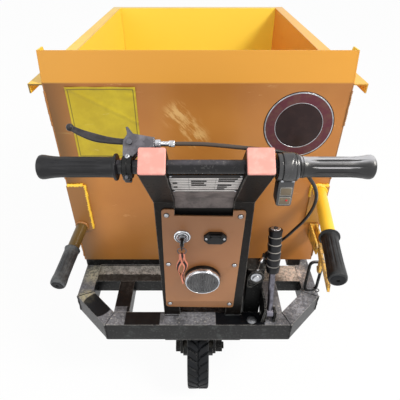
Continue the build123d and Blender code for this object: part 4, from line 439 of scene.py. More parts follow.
def sprayed_paint(name, deep, full, scuff, scuff_low=0.62):
    """Sprayed paint between two tones, with scuffs, grime and rubbed edges, not yet closed."""
    paint = Finish(name, full, 0.42)
    cloud = paint.stains(230.0, 0.3, 0.7, detail=3.0)
    colour = paint.mixed(cloud, deep, full)
    speck = paint.stains(4.0, 0.66, 0.74, detail=3.0)
    worn_area = paint.stains(170.0, 0.5, 0.66, detail=2.0, shift=3.0)
    strokes = paint.blotches(20.0, detail=6.0, rough=0.7, along=(0.35, 1.0, 1.6))
    stroke = paint.patches(strokes, scuff_low, scuff_low + 0.06)
    marks = paint.both(paint.either(stroke, paint.both(speck, 0.5)), worn_area)
    colour = paint.laid(marks, 0.55, colour, scuff)
    grime = paint.stains(60.0, 0.58, 0.8, detail=6.0, rough=0.65, shift=7.0)
    colour = paint.laid(grime, 0.18, colour, GRIME_BROWN)
    ragged = paint.stains(24.0, 0.42, 0.62, detail=5.0, rough=0.7)
    rubbed = paint.both(paint.edges(2.5), ragged)
    colour = paint.laid(rubbed, 0.6, colour, PRIMER)
    paint.feed("Roughness", paint.scaled(paint.either(marks, grime), 0.36, 0.62))
    paint.rounded(1.5)
    paint.bump(paint.blotches(1.6, 2.0), depth=0.05, strength=0.35)
    paint.bump(paint.blotches(140.0, 2.0), depth=1.2, strength=0.25)
    return paint, colour


def closed(paint, colour):
    """Feeds the colour in and hands the finished material back."""
    paint.feed("Base Color", colour)
    return paint.done()


print("sprayed paint ready")

# %% [markdown]
# Outside, the hopper is one orange all round, with painted shade on the ends of its sides and rims that look
# back. Inside, the faces that look up or into it get a clear yellow as painted sunlight, and the right wall a
# deeper orange as painted shade. Both sides are one part, so masks tell its faces apart by where they lie and
# which way they look.

# %% Hopper, outside and inside
HOPPER_TONES = (tone(224, 158, 46), tone(234, 172, 56), tone(246, 212, 142))     # deep, full and scuffed
# Painted light: the clear yellow is painted sunlight on the inner faces; the deeper orange and the side-end
# tone are painted shade.
SUNLIT_INSIDE = tone(251, 226, 86)
SHADED_INSIDE = tone(216, 124, 62)
SHADED_SIDE_ENDS = tone(160, 106, 54)
hopper, hopper_colour = sprayed_paint("hopper_paint", *HOPPER_TONES)
# Faces that look back or up, inside the hopper, get the painted sunlight.
inside = hopper.either(hopper.facing_back("Y"), hopper.facing_up())
hopper_paint = closed(hopper, hopper.laid(inside, 0.9, hopper_colour, SUNLIT_INSIDE))

sides, sides_colour = sprayed_paint("hopper_sides_paint", *HOPPER_TONES)
right_side = sides.on_right()
# Painted sunlight on the left inner wall, painted shade on the right inner wall.
shaded_right_wall = sides.both(right_side, sides.facing_back("X"))
sunlit_left_wall = sides.both(sides.all_but(right_side), sides.part(sides.facing, "X"))
sides_colour = sides.laid(sunlit_left_wall, 0.9, sides_colour, SUNLIT_INSIDE)
sides_colour = sides.laid(shaded_right_wall, 0.85, sides_colour, SHADED_INSIDE)
# Side ends that look back get painted shade.
sides_paint = closed(sides, sides.mixed(sides.facing_back("Y"), sides_colour, SHADED_SIDE_ENDS))

RIM_TONES = (tone(242, 194, 48), tone(251, 206, 60), tone(250, 230, 146))
FRONT_RIM = (600.0, 620.0)          # along the barrow, where the front rim's colour comes in
RIGHT_RIM = (318.0, 326.0)          # across the barrow, where the right rim's painted shade comes in
rims, rims_colour = sprayed_paint("hopper_rims_paint", *RIM_TONES)
rims_colour = rims.laid(rims.above("Y", *FRONT_RIM), 0.6, rims_colour, tone(216, 198, 146))
# The right rim is painted darker, as painted shade.
shaded_right_rim = rims.above("X", *RIGHT_RIM)
rims_colour = rims.laid(shaded_right_rim, 0.6, rims_colour, tone(224, 156, 66))
# Rim ends that look back get painted shade, deeper on the left.
shaded_rim_ends = rims.both(rims.facing_back("Y"), rims.scaled(shaded_right_rim, 0.85, 0.3))
rims_paint = closed(rims, rims.mixed(shaded_rim_ends, rims_colour, tone(98, 72, 36)))
coat(hopper_paint, "hopper_floor", "hopper_front_wall", "hopper_hinge_ears")
coat(sides_paint, "hopper_sides")
coat(rims_paint, "hopper_rims")
print("hopper painted outside and inside")

# %% [markdown]
# The rear wall is what the operator sees. Its deeper orange is painted shade, its left side and the strip
# under the raised band get more painted shade, and the raised band itself is painted lighter. Ramps across
# and up the wall lay those zones over the sprayed paint, and its inner face gets the inside's painted
# sunlight. Pale slanted streaks lie in the middle: a slanted streaky pattern, kept to a few round places that
# overlap, is easier to steer than drawn lines.

# %% Rear wall
# The wall's deeper orange is painted shade.
SHADED_WALL_TONES = (tone(184, 116, 48), tone(199, 132, 60), tone(236, 190, 124))
SHADED_LEFT = (-330.0, -235.0)      # across the wall, where the left side's shade fades out
SHADE_FOOT, BAND_FOOT = 790.0, 894.0        # heights where the shade and the raised band begin
WALL_FACE = 195.0
STREAK_SLANT = math.radians(41.0)
PALE_STREAKS = ((-46, 824, 42.0), (-22, 796, 40.0), (-4, 772, 40.0))     # across, height and reach
wall, wall_colour = sprayed_paint("rear_wall_paint", *SHADED_WALL_TONES)
shaded = wall.all_but(wall.above("X", *SHADED_LEFT))
wall_colour = wall.laid(shaded, 0.9, wall_colour, tone(100, 70, 34))
shade_under_band = wall.above("Z", SHADE_FOOT, BAND_FOOT)
wall_colour = wall.laid(shade_under_band, 0.35, wall_colour, tone(132, 82, 38))
# The raised band is painted lighter, as light falls on it more.
lit_band = wall.above("Z", BAND_FOOT, BAND_FOOT + 4.0)
wall_colour = wall.laid(lit_band, 0.9, wall_colour, tone(219, 153, 52))
# Pale slanted streaks in the middle of the wall.
strokes = wall.blotches(20.0, detail=7.0, rough=0.72, along=(1.5, 1.0, 0.3), shift=5.0, turn=STREAK_SLANT)
streaked = 0.0
for across, height, reach in PALE_STREAKS:
    streaked = wall.either(streaked, wall.near(drawn(across, WALL_FACE, height), reach))
pale_streak = wall.both(wall.patches(strokes, 0.47, 0.58), streaked)
wall_colour = wall.laid(pale_streak, 0.75, wall_colour, tone(240, 196, 128))
# The wall's inner face gets the inside's painted sunlight.
rear_wall_paint = closed(wall, wall.mixed(wall.facing_back("Y"), tone(250, 210, 82), wall_colour))
coat(rear_wall_paint, "hopper_rear_wall")
print("rear wall painted, scraped in", len(PALE_STREAKS), "places")

# %% [markdown]
# Handles, latch, weld beads and control panel came out of the same kind of spray gun. The left handle and
# the plates behind both get painted shade, the latch is rusty where it rubs, and the panel is browner, with
# painted shade towards its top and in the strip below. The bright yellow beads are painted sunlight and the
# darker ones painted shade. The same recipe with other tones and a mask or two keeps them all of a family.

# %% Handles, latch, welds and panel
PLATE_FACE = REAR_FACE / MM + 189.0         # the plates that hold the handles, on the rear wall
STRIP_TOP = (411.0, 412.5)                  # up the panel, where the painted shade of the strip below it ends
PANEL_SHADE = (560.0, 720.0)                # and where its painted shade grows darker
handle, handle_colour = sprayed_paint("handle_paint", tone(246, 186, 40), tone(254, 204, 62),
                                      tone(250, 226, 160), scuff_low=0.68)
# The left handle gets painted shade.
shaded_left_handle = handle.all_but(handle.on_right())
handle_colour = handle.laid(shaded_left_handle, 0.95, handle_colour, tone(78, 60, 34))
# The plates on the rear wall get painted shade.
shaded_plates = handle.above("Y", PLATE_FACE - 3.0, PLATE_FACE - 0.6)
handle_paint = closed(handle, handle.laid(shaded_plates, 0.85, handle_colour, tone(158, 106, 54)))

latch, latch_colour = sprayed_paint("latch_paint", tone(212, 156, 58), tone(240, 192, 84),
                                    tone(250, 226, 160))
latch_rust = latch.stains(20.0, 0.46, 0.6, detail=7.0, rough=0.72, shift=6.0)
latch_paint = closed(latch, latch.laid(latch_rust, 0.8, latch_colour, tone(112, 82, 40)))
# The bright bead paint is painted sunlight; the darker seam paint is painted shade.
sunlit_bead_paint = closed(*sprayed_paint("sunlit_bead_paint", tone(246, 190, 40), tone(255, 210, 70), tone(252, 230, 164),
                                   scuff_low=0.7))
shaded_bead_paint = closed(*sprayed_paint("shaded_bead_paint", tone(150, 100, 50), tone(168, 112, 58), tone(200, 150, 90),
                                   scuff_low=0.7))

panel, panel_colour = sprayed_paint("panel_paint", tone(148, 96, 56), tone(162, 110, 68), tone(186, 142, 106),
                                    scuff_low=0.66)
# Painted shade on the strip at the panel's foot and towards its top.
shaded_foot_strip = panel.all_but(panel.above("Z", *STRIP_TOP))
panel_colour = panel.laid(shaded_foot_strip, 0.5, panel_colour, tone(112, 70, 26))
panel_top_shade = panel.above("Z", *PANEL_SHADE)
panel_paint = closed(panel, panel.laid(panel_top_shade, 0.3, panel_colour, tone(96, 60, 34)))
coat(handle_paint, "tipping_handles")
coat(latch_paint, "latch_lever", "latch_bracket")
coat(panel_paint, "control_panel")
print("handles, latch and panel painted")

# %% [markdown]
# The frame is black paint on rough box tube. Site dust lies on everything that faces up, boots have worn
# the tops to a speckled grey, and the edges show bare steel. The dust is a mask that looks at which way
# a face points, broken up by two scales of noise so that it gathers in sharp-edged patches. Cement splashes
# on some places, and painted cast shadow lies dark and dustless on others and along the left half of a top;
# masks by place do both here.

# %% A recipe for black paint
BLACK_TONES = (tone(8, 8, 9), tone(20, 20, 20))
SPECK_GREY = tone(150, 148, 146)
CRUMB_WHITE = tone(232, 226, 214)
FILM_GREY = tone(98, 104, 102)
CAST_SHADOW_BLACK = tone(7, 9, 14)
SHADED_BLACK = tone(17, 14, 13)
BARE_STEEL = tone(178, 174, 168)
SHADOWED_CORNER = (-266, 64, FRAME_TOP)       # a painted shadow lies on this corner, where no dust shows


def cast_shadow_places(paint, places):
    """One on top of the places and of the corner that get painted cast shadow."""
    shadow_spots = paint.patches(paint.near(drawn(*SHADOWED_CORNER), 58.0), 0.3, 0.4)
    for low_x, high_x, low_y, high_y in places:
        lengthways = paint.between("Y", low_y + REAR_FACE / MM, high_y + REAR_FACE / MM)
        shadow_spots = paint.either(shadow_spots, paint.both(paint.between("X", low_x, high_x), lengthways))
    return paint.both(shadow_spots, paint.facing_up())


def shadow_strip(paint, edge):
    """One on the top of the left half, up to a ragged line along an edge, where painted shadow lies."""
    inward = paint.above("Y", edge - 20.0, edge + 20.0)
    ragged = paint.both(paint.blotches(22.0, 7.0, 0.72, shift=8.0), 0.8)
    dusted = paint.patches(paint.reckon("SUBTRACT", inward, ragged), 0.07, 0.13)
    shadow_top = paint.both(paint.facing_up(), paint.all_but(dusted))
    return paint.both(shadow_top, paint.all_but(paint.on_right()))


def black_paint(name, dust_share, dust_colour, roughness, film_share=0.3, shine=0.25, tones=BLACK_TONES,
                shadow_edge=None, shadowed=(), splashed=(), grit=0.5):
    """Black paint under dust, with cement splashed on some places and painted cast shadow on others."""
    deep, full = tones
    paint = Finish(name, deep, roughness, gloss=shine)
    cloud = paint.stains(90.0, 0.4, 0.7, detail=4.0)
    colour = paint.mixed(cloud, deep, full)
    speck = paint.stains(5.0, 0.58, 0.68, detail=4.0, rough=0.7)
    colour = paint.laid(speck, dust_share * 0.35, colour, SPECK_GREY)
    bed = paint.stains(70.0, 0.4, 0.58, detail=7.0, rough=0.7, shift=2.0)
    grain = paint.stains(6.0, 0.38, 0.62, detail=6.0, rough=0.75, shift=4.0)
    powder = paint.both(paint.scaled(bed, 0.42, 1.0), paint.scaled(grain, grit, 1.0))
    powder = paint.both(paint.facing_up(), powder)
    # Painted cast shadow clears the dust where it lies.
    if shadowed:
        cast_shadow = cast_shadow_places(paint, shadowed)
        powder = paint.both(powder, paint.scaled(cast_shadow, 1.0, 0.1))
    colour = paint.laid(powder, dust_share, colour, dust_colour)
    for across, along, reach, splash_colour in splashed:
        drops = paint.stains(9.0, 0.46, 0.56, detail=7.0, rough=0.75, shift=5.0)
        splash = paint.both(paint.near(drawn(across, along, FRAME_TOP), reach), paint.facing_up())
        colour = paint.laid(splash, paint.scaled(drops, 0.25, 1.0), colour, splash_colour)
    crumb = paint.stains(6.0, 0.57, 0.64, detail=5.0, rough=0.7, shift=11.0)
    colour = paint.laid(paint.both(powder, crumb), (1.1 - grit) * dust_share, colour, CRUMB_WHITE)
    film = paint.stains(28.0, 0.5, 0.75, detail=6.0, rough=0.7, shift=9.0)
    colour = paint.laid(film, film_share, colour, FILM_GREY)
    if shadowed:
        # Painted cast shadow.
        colour = paint.laid(cast_shadow, 0.88, colour, CAST_SHADOW_BLACK)
    # Painted shadow along the left half of the crossbar's top.
    if shadow_edge:
        colour = paint.laid(shadow_strip(paint, shadow_edge), 0.88, colour, SHADED_BLACK)
    ragged = paint.stains(18.0, 0.36, 0.52, detail=5.0, rough=0.7)
    rubbed = paint.both(paint.edges(3.0), ragged)
    rub_share = 0.75 * max(film_share, 0.2) / 0.3
    colour = paint.laid(rubbed, rub_share, colour, BARE_STEEL)
    paint.feed("Base Color", colour)
    paint.feed("Roughness", paint.scaled(paint.either(powder, speck), roughness, 0.85))
    paint.rounded(2.5)
    paint.bump(paint.blotches(3.0, 4.0), depth=0.15, strength=0.5)
    paint.bump(powder, depth=0.4, strength=0.5)
    return paint.done()


print("black paint ready")

# %% [markdown]
# Each black part has had its own share of the site. The rear of the frame is splashed and carries painted
# cast shadow, the crossbar under the hopper is thick with grit and has painted shadow on its left half, the
# column is only a little dusty, the brake post is sooty and the handlebar is kept shiny by hands. One recipe
# with other shares is enough for all of them.

# %% Frame, column and handlebar
# Places on the frame's top that get painted cast shadow, where no dust shows.
CAST_SHADOW_PLACES = ((-186, -97, -40, 58), (45, 168, -40, 58),
                (-232, -128, 58, 146))      # low and high across, low and high along
SHADOW_EDGE = REAR_FACE / MM + 171.0          # the painted shadow on the crossbar's top ends in a ragged line along here
SPLASHES = ((-288, 172, 58.0, tone(206, 198, 170)), (-248, 182, 64.0, tone(214, 208, 196)),
            (-302, 90, 34.0, tone(206, 196, 160)), (268, 176, 62.0, tone(226, 202, 186)),
            (262, 66, 70.0, tone(150, 150, 156)),
            (-160, 186, 120.0, tone(222, 216, 208)))        # across, along, reach and colour
frame_paint = black_paint("frame_paint", 0.85, tone(146, 146, 152), 0.34, shadowed=CAST_SHADOW_PLACES,
                          splashed=SPLASHES)
worn_paint = black_paint("worn_frame_paint", 1.0, tone(206, 194, 182), 0.36, shadow_edge=SHADOW_EDGE,
                         splashed=SPLASHES, grit=0.12)
column_paint = black_paint("column_paint", 0.3, tone(120, 112, 106), 0.4, film_share=0.06, shine=0.16,
                           tones=(tone(12, 8, 6), tone(22, 16, 13)))
soot_paint = black_paint("soot_paint", 0.35, tone(110, 108, 106), 0.45, film_share=0.04, shine=0.1,
                         tones=(tone(5, 5, 5), tone(12, 12, 12)))
bar_paint = black_paint("bar_paint", 0.4, tone(110, 106, 114), 0.16, film_share=0.05, shine=0.4,
                        tones=(tone(10, 9, 13), tone(20, 18, 22)))
coat(frame_paint, "rear_loop", "side_rails", "stringers", "latch_hoop", "hinge_lugs", "caster_plate",
     "axle_saddles")
coat(soot_paint, "brake_post", "ratchet_bracket", "battery_tray", "caster_fork", "caster_axle")
coat(worn_paint, "crossbars")
coat(column_paint, "column_posts")
coat(bar_paint, "handlebar")
print("frame painted, with", len(SPLASHES), "splashes of cement")

# %% [markdown]
# The sloped console is folded from black sheet. Cement dust lies in a band on it, from its plate down over
# the fold, and hands have drawn streaks through it. Two ramps up the barrow mark the band, and a pattern
# stretched sideways gives the streaks.

# %% Console paint
CONSOLE_BLACK = tone(16, 16, 16)
DUST_FOOT, DUST_TOP = (706.5, 709.0), (790.0, 800.0)     # heights where the band comes in and fades out
console = Finish("console_paint", CONSOLE_BLACK, 0.5, gloss=0.25)
cement = console.stains(34.0, 0.34, 0.6, detail=7.0, rough=0.72)
dusty_band = console.both(console.above("Z", *DUST_FOOT), console.all_but(console.above("Z", *DUST_TOP)))
streaks = console.blotches(9.0, detail=6.0, rough=0.7, along=(0.5, 1.0, 1.0), shift=2.0)
streak = console.both(console.patches(streaks, 0.45, 0.7), dusty_band)
powder = console.both(dusty_band, console.scaled(cement, 0.45, 1.0))
console_colour = console.laid(powder, 0.85, CONSOLE_BLACK, tone(132, 122, 120))
console_colour = console.laid(streak, 0.5, console_colour, tone(96, 92, 90))
console.feed("Roughness", console.scaled(powder, 0.4, 0.85))
console.rounded(1.5)
console.bump(console.blotches(3.0, 4.0), depth=0.15, strength=0.5)
console_paint = closed(console, console_colour)
coat(console_paint, "control_box")
print("console painted")

# %% [markdown]
# Rubber and plastic look alike in a photograph until the light grazes them: rubber is dull and a little
# grey with dust, moulded plastic keeps a soft shine. Both get a fine grain. Two short recipes are enough, and
# each piece says how dark, how shiny and how dusty it is.

# %% Rubber and plastic
HIGHLIGHT_GREY = tone(176, 176, 180)
SHEATH_DUST = tone(84, 73, 65)


def rubber(name, colour, dusty, grain=1.2, shine=0.5, gloss=0.35, top_highlight=0.0):
    """Moulded rubber with a smear of dust, and a painted highlight on top when asked for."""
    skin = Finish(name, colour, 0.62, gloss=gloss)
    smear = skin.stains(30.0, 0.42, 0.75, detail=5.0, rough=0.65)
    skin_colour = skin.laid(smear, 0.4, colour, dusty)
    if top_highlight:
        skin_colour = skin.laid(skin.facing_up(0.7, 1.0), top_highlight, skin_colour, HIGHLIGHT_GREY)
    skin.feed("Base Color", skin_colour)
    skin.feed("Roughness", skin.scaled(smear, shine, shine + 0.25))
    skin.rounded(0.8)
    skin.bump(skin.blotches(grain, 3.0), depth=0.12, strength=0.5)
    return skin.done()


def plastic(name, colour, faded, shine, gloss=0.3, dusty_left=None):
    """Moulded plastic, which may be dusty to the left of a place."""
    skin = Finish(name, colour, shine, gloss=gloss)
    smear = skin.stains(18.0, 0.4, 0.72, detail=5.0, rough=0.6)
    skin_colour = skin.laid(smear, 0.5, colour, faded)
    if dusty_left is not None:
        dusty = skin.all_but(skin.above("X", dusty_left - 25.0, dusty_left + 25.0))
        skin_colour = skin.laid(dusty, 0.8, skin_colour, SHEATH_DUST)
    skin.feed("Base Color", skin_colour)
    skin.feed("Roughness", skin.scaled(smear, shine, shine + 0.2))
    skin.rounded(0.8)
    skin.bump(skin.cells(0.9), depth=0.04, strength=0.35)
    return skin.done()


grip_rubber = rubber("grip_rubber", tone(17, 17, 20), tone(46, 46, 50), shine=0.36)
dusty_rubber = rubber("dusty_rubber", tone(62, 64, 66), tone(150, 152, 152), shine=0.42)
worn_rubber = rubber("worn_rubber", tone(26, 27, 28), tone(78, 79, 81), shine=0.36, gloss=0.36)
# The twist grip gets a painted highlight along its top.
throttle_rubber = rubber("throttle_rubber", tone(17, 17, 19), tone(42, 42, 44), grain=0.8, shine=0.28,
                         gloss=0.6, top_highlight=0.95)
tyre_rubber = rubber("tyre_rubber", tone(7, 9, 13), tone(34, 37, 42), grain=2.0, gloss=0.25)
cap_plastic = plastic("cap_plastic", tone(236, 158, 146), tone(246, 194, 182), 0.34)
housing_plastic = plastic("housing_plastic", tone(22, 22, 25), tone(46, 45, 49), 0.26, gloss=1.0)
perch_plastic = plastic("perch_plastic", tone(70, 67, 74), tone(142, 138, 147), 0.26, gloss=0.8)
case_plastic = plastic("case_plastic", tone(11, 11, 12), tone(30, 30, 30), 0.3)
battery_plastic = plastic("battery_plastic", tone(62, 66, 72), tone(92, 94, 98), 0.45)
button_plastic = plastic("button_plastic", tone(34, 34, 36), tone(76, 76, 78), 0.35)
sheath_plastic = plastic("sheath_plastic", tone(13, 12, 12), tone(46, 42, 39), 0.32, gloss=0.35,
                         dusty_left=80.0)
strap_pink = plastic("strap_pink", tone(214, 128, 102), tone(238, 172, 150), 0.5)
strap_black = plastic("strap_black", tone(22, 20, 20), tone(52, 46, 44), 0.5)
coat(grip_rubber, "rest_pads", "tipping_grips", "left_grip", "throttle_grip")
coat(tyre_rubber, "caster_tyre", "left_wheel_tyre", "right_wheel_tyre")
coat(cap_plastic, "post_caps")
coat(perch_plastic, "brake_perch")
coat(housing_plastic, "throttle_housing")
coat(case_plastic, "charging_socket", "socket_flap", "lamp_housing")
coat(battery_plastic, "batteries")
coat(button_plastic, "parking_button")
cable.data.materials.append(sheath_plastic)
print("rubber and plastic ready")

# %% [markdown]
# Bare metals differ by how they were made: chrome is a mirror with fine pits, zinc is dull and cloudy,
# steel has drawn lines and a breath of rust, and cast aluminium is grainy and grey. They share one recipe, in
# which colour, roughness, grain and stain are what tells them apart.

# %% Metals
RUST = tone(122, 78, 48)


def metal(name, colour, dull, roughness, grain, stain=0.0):
    """Bare metal, cloudy between two tones, with rust where it stains."""
    skin = Finish(name, colour, roughness, 1.0)
    cloud = skin.stains(14.0, 0.35, 0.72, detail=5.0, rough=0.65)
    shade = skin.mixed(cloud, colour, dull)
    if stain:
        rust = skin.stains(20.0, 0.58, 0.72, detail=7.0, rough=0.7, shift=4.0)
        shade = skin.laid(rust, stain, shade, RUST)
    skin.feed("Base Color", shade)
    skin.feed("Roughness", skin.scaled(cloud, roughness, roughness + 0.18))
    skin.rounded(0.8)
    skin.bump(skin.blotches(grain, 3.0), depth=0.05, strength=0.4)
    return skin.done()


chrome = metal("chrome", tone(226, 228, 232), tone(196, 198, 204), 0.1, grain=5.0)
zinc = metal("zinc", tone(206, 208, 212), tone(160, 162, 168), 0.32, grain=2.0)
steel = metal("steel", tone(168, 170, 174), tone(118, 118, 120), 0.36, grain=1.5, stain=0.35)
lever_steel = metal("lever_steel", tone(132, 130, 140), tone(88, 86, 94), 0.36, grain=1.5, stain=0.2)
dark_zinc = metal("dark_zinc", tone(112, 112, 118), tone(78, 78, 82), 0.4, grain=2.0, stain=0.2)
cast_metal = metal("cast_metal", tone(142, 144, 148), tone(104, 105, 108), 0.5, grain=2.4, stain=0.15)
motor_paint = black_paint("motor_paint", 0.4, tone(150, 140, 128), 0.45)
wheel_paint = black_paint("wheel_paint", 0.4, tone(170, 160, 146), 0.4)
coat(chrome, "cable_adjuster", "ignition_switch")
coat(zinc, "panel_screws", "hinge_pins", "brake_crank")
coat(steel, "left_half_shaft", "right_half_shaft", "ignition_key")
coat(lever_steel, "parking_lever")
coat(cast_metal, "axle_housing", "motor_controller")
coat(motor_paint, "drive_motor")
coat(wheel_paint, "caster_rim", "left_wheel_rim", "right_wheel_rim")

glass = Finish("lamp_glass", tone(98, 98, 100), 0.08)
glass.set(**{"Transmission Weight": 0.3, "IOR": 1.45})
glass.feed("Roughness", glass.scaled(glass.stains(9.0, 0.4, 0.75, detail=5.0), 0.08, 0.32))
glass.bump(glass.blotches(6.0, 3.0), depth=0.1, strength=0.3)
lamp_glass = glass.done()
coat(lamp_glass, "lamp_lens")
print("metals and glass ready")

# %% [markdown]
# Finely moulded pieces are drawn in mesh code. Each form is closed, so the piece can be printed as well as
# rendered, and one piece may carry several finishes.

# %% A kit for shapes
class Shape:
    """A piece in the making: each method adds one closed form in the finish last chosen."""

    def __init__(self, finish):
        self.mesh = bmesh.new()
        self.finishes = []
        self.wear(finish)

    def wear(self, finish):
        """The next forms get this finish."""
        if finish not in self.finishes:
            self.finishes.append(finish)
        self.index = self.finishes.index(finish)

    def skin(self, rings, loop=False, ends=True):
        """Joins rings of places into a skin, closed by two flat ends or by a loop."""
        rows = [[self.mesh.verts.new(place) for place in ring] for ring in rings]
        pairs = list(zip(rows, rows[1:]))
        if loop:
            pairs.append((rows[-1], rows[0]))
        faces = []
        for first, second in pairs:
            for here in range(len(first)):
                after = (here + 1) % len(first)
                faces.append(self.mesh.faces.new((first[here], first[after], second[after], second[here])))
        if ends and not loop:
            faces += [self.mesh.faces.new(rows[0][::-1]), self.mesh.faces.new(rows[-1])]
        for face in faces:
            face.material_index = self.index
        return rows

    def turned(self, profile, origin, axis, steps=32, dent=None, hollow=False, across=None):
        """A profile of (along, radius) rows turned about an axis, with an optional dent in its radius."""
        axis = Vector(axis).normalized()
        across = Vector(across) if across else axis.orthogonal()
        across = (across - axis * across.dot(axis)).normalized()
        up = axis.cross(across)
        rings = []
        for along, radius in profile:
            ring = []
            for angle in turns(steps):
                reach = dent(angle, along, radius) if dent else radius
                outward = across * math.cos(angle) + up * math.sin(angle)
                ring.append(origin + MM * (axis * along + outward * reach))
            rings.append(ring)
        self.skin(rings, hollow)

    def tube(self, profile, place, axis, steps):
        """A closed profile turned about an axis, which leaves a hole through its middle."""
        self.turned(profile, place, axis, steps, hollow=True)

    def swept(self, places, section, up, sizes=None, twist=0.0, loop=False):
        """A section drawn along places; up is where its second axis points at the start."""
        rings = []
        last = len(places) - 1
        for here, place in enumerate(places):
            before = places[here - 1] if here or loop else place
            after = places[(here + 1) % len(places)] if here < last or loop else place
            along = (after - before).normalized()
            up = (up - along * up.dot(along)).normalized()
            turn = Matrix.Rotation(twist * here / last, 3, along)
            wide, tall = sizes[here] if sizes else (1.0, 1.0)
            side = turn @ along.cross(up)
            over = turn @ up
            rings.append([place + MM * (side * a * wide + over * b * tall) for a, b in section])
        self.skin(rings, loop)

    def rim(self, points):
        """The edges round a ring of points."""
        return [self.mesh.edges.get((a, b)) for a, b in zip(points, points[1:] + points[:1])]

    def slab(self, outline, frame_of, low, high, edge=0.0, holes=()):
        """An outline on a frame of (origin, across, up), from low to high along its normal."""
        origin, across, up = frame_of
        out = across.cross(up)

        def ring(points, height):
            return [origin + MM * (across * a + up * b + out * height) for a, b in points]

        rows = self.skin([ring(outline, low), ring(outline, high)], ends=not holes)
        if holes:
            loops = [rows] + [self.skin([ring(hole, low), ring(hole, high)], ends=False) for hole in holes]
            for level in (0, 1):
                rim = [edge_of for pair in loops for edge_of in self.rim(pair[level])]
                made = bmesh.ops.triangle_fill(self.mesh, edges=rim, use_beauty=True)["geom"]
                for face in made:
                    if isinstance(face, bmesh.types.BMFace):
                        face.material_index = self.index
        elif edge:
            rim = [edge_of for row in rows for edge_of in self.rim(row)]
            bmesh.ops.bevel(self.mesh, geom=rim, offset=edge * MM, segments=2, profile=0.5,
                            affect="EDGES", clamp_overlap=True)

    def ball(self, place, radius):
        """A ball, turned from half a circle."""
        rows = [(-radius * math.cos(turn), max(0.02, radius * math.sin(turn)))
                for turn in evenly(0, math.pi, 10)]
        self.turned(rows, place, (0, 0, 1), 20)

    def bead(self, places, radius):
        """A weld bead: overlapping scales of metal along a line of places."""
        spots, sizes = [], []
        for start, end in zip(places, places[1:]):
            count = max(3, round((end - start).length / (0.9 * radius * MM)))
            for step in range(count):
                spot = start.lerp(end, step / count)
                wander = noise.noise(spot * 90.0) * 0.35 * radius * MM
                spots.append(spot + Vector((wander, 0, wander)))
                size = (0.86, 1.14)[step % 2] + 0.22 * noise.noise(spot * 150.0)
                sizes.append((size, size))
        self.swept(spots, circle(radius, 10), Vector((0.3, 0.2, 1.0)), sizes)

    def hexagon_head(self, place, axis, flats, height):
        """A bolt head with its corners turned off."""
        def six(angle, along, radius):
            side = (angle + math.pi / 6) % (math.pi / 3) - math.pi / 6
            return min(radius, flats / 2 / math.cos(side))
        corner = flats / 2 / math.cos(math.pi / 6)
        rows = [(-1.0, corner), (height * 0.8, corner), (height, corner * 0.88), (height, 0.2)]
        self.turned(rows, place, axis, 36, six)

    def cross_screw(self, place, axis, radius):
        """A domed screw head with a cross recess."""
        def arms(angle, along, reach):
            return reach if reach > 0.52 * radius or math.cos(4 * angle) > 0.7 else 0.35 * reach
        rows = [(-0.5, 1.0), (0.12, 1.0), (0.36, 0.86), (0.49, 0.66), (0.53, 0.54), (0.54, 0.5), (0.2, 0.46)]
        self.turned([(along * radius, reach * radius) for along, reach in rows], place, axis, 32, arms)

    def piece(self, name, body, replaces=(), crease=35.0):
        """Closes the piece, lets it ride on a body and hides the parts it stands for."""
        bmesh.ops.recalc_face_normals(self.mesh, faces=self.mesh.faces)
        data = bpy.data.meshes.new(name)
        self.mesh.to_mesh(data)
        self.mesh.free()
        for finish in self.finishes:
            data.materials.append(finish)
        data.polygons.foreach_set("use_smooth", [True] * len(data.polygons))
        data.set_sharp_from_angle(angle=math.radians(crease))
        thing = added(name, data)
        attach(thing, body)
        if replaces:
            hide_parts(*replaces)
        print(name, len(data.vertices), "points")


print("shape kit ready")

# %% [markdown]
# Outlines and lines are as common as forms: a circle, an arc, a rectangle with round corners, a smooth line
# through a few points, and a profile with enough rows for a dent to show. Worked out from their sizes, they
# stay exact when a size changes, which a list of typed points would not.

# %% Outlines and lines
def evenly(start, end, steps):
    """Values from start to end in equal steps."""
    return [start + (end - start) * step / steps for step in range(steps + 1)]


def turns(count, shift=0.0):
    """Angles of equal steps once round, which may begin a share of a step later."""
    return [math.tau * (step + shift) / count for step in range(count)]


def circle(radius, steps):
    """Points on a circle."""
    return [(radius * math.cos(turn), radius * math.sin(turn)) for turn in turns(steps)]


def arc(middle, radius, start, sweep, steps):
    """Points on an arc, from an angle through a sweep."""
    x, y = middle
    return [(x + radius * math.cos(turn), y + radius * math.sin(turn))
            for turn in evenly(start, start + sweep, steps)]


def box_outline(left, right, low, high, corner=0.0, steps=4):
    """A rectangle with round corners."""
    if not corner:
        return [(left, low), (right, low), (right, high), (left, high)]
    middles = ((right - corner, high - corner), (left + corner, high - corner),
               (left + corner, low + corner), (right - corner, low + corner))
    points = []
    for quarter, middle in enumerate(middles):
        points += arc(middle, corner, quarter * math.pi / 2, math.pi / 2, steps)
    return points


def flowing(points, steps):
    """A smooth line through points, with steps between each two."""
    line = []
    last = len(points) - 1
    for here in range(last):
        a, b, c, d = (Vector(points[min(max(here + shift, 0), last)]) for shift in (-1, 0, 1, 2))
        for step in range(steps):
            t = step / steps
            line.append(0.5 * (2 * b + (c - a) * t + (2 * a - 5 * b + 4 * c - d) * t ** 2
                               + (3 * b - a - 3 * c + d) * t ** 3))
    return line + [Vector(points[last])]


def filled(rows, longest=4.0):
    """A profile with more rows between those that lie far apart."""
    full = [rows[0]]
    for (start, first), (end, second) in zip(rows, rows[1:]):
        count = max(1, math.ceil(math.hypot(end - start, second - first) / longest))
        full += [(start + (end - start) * step / count, first + (second - first) * step / count)
                 for step in range(1, count + 1)]
    return full


print("outlines and lines ready")

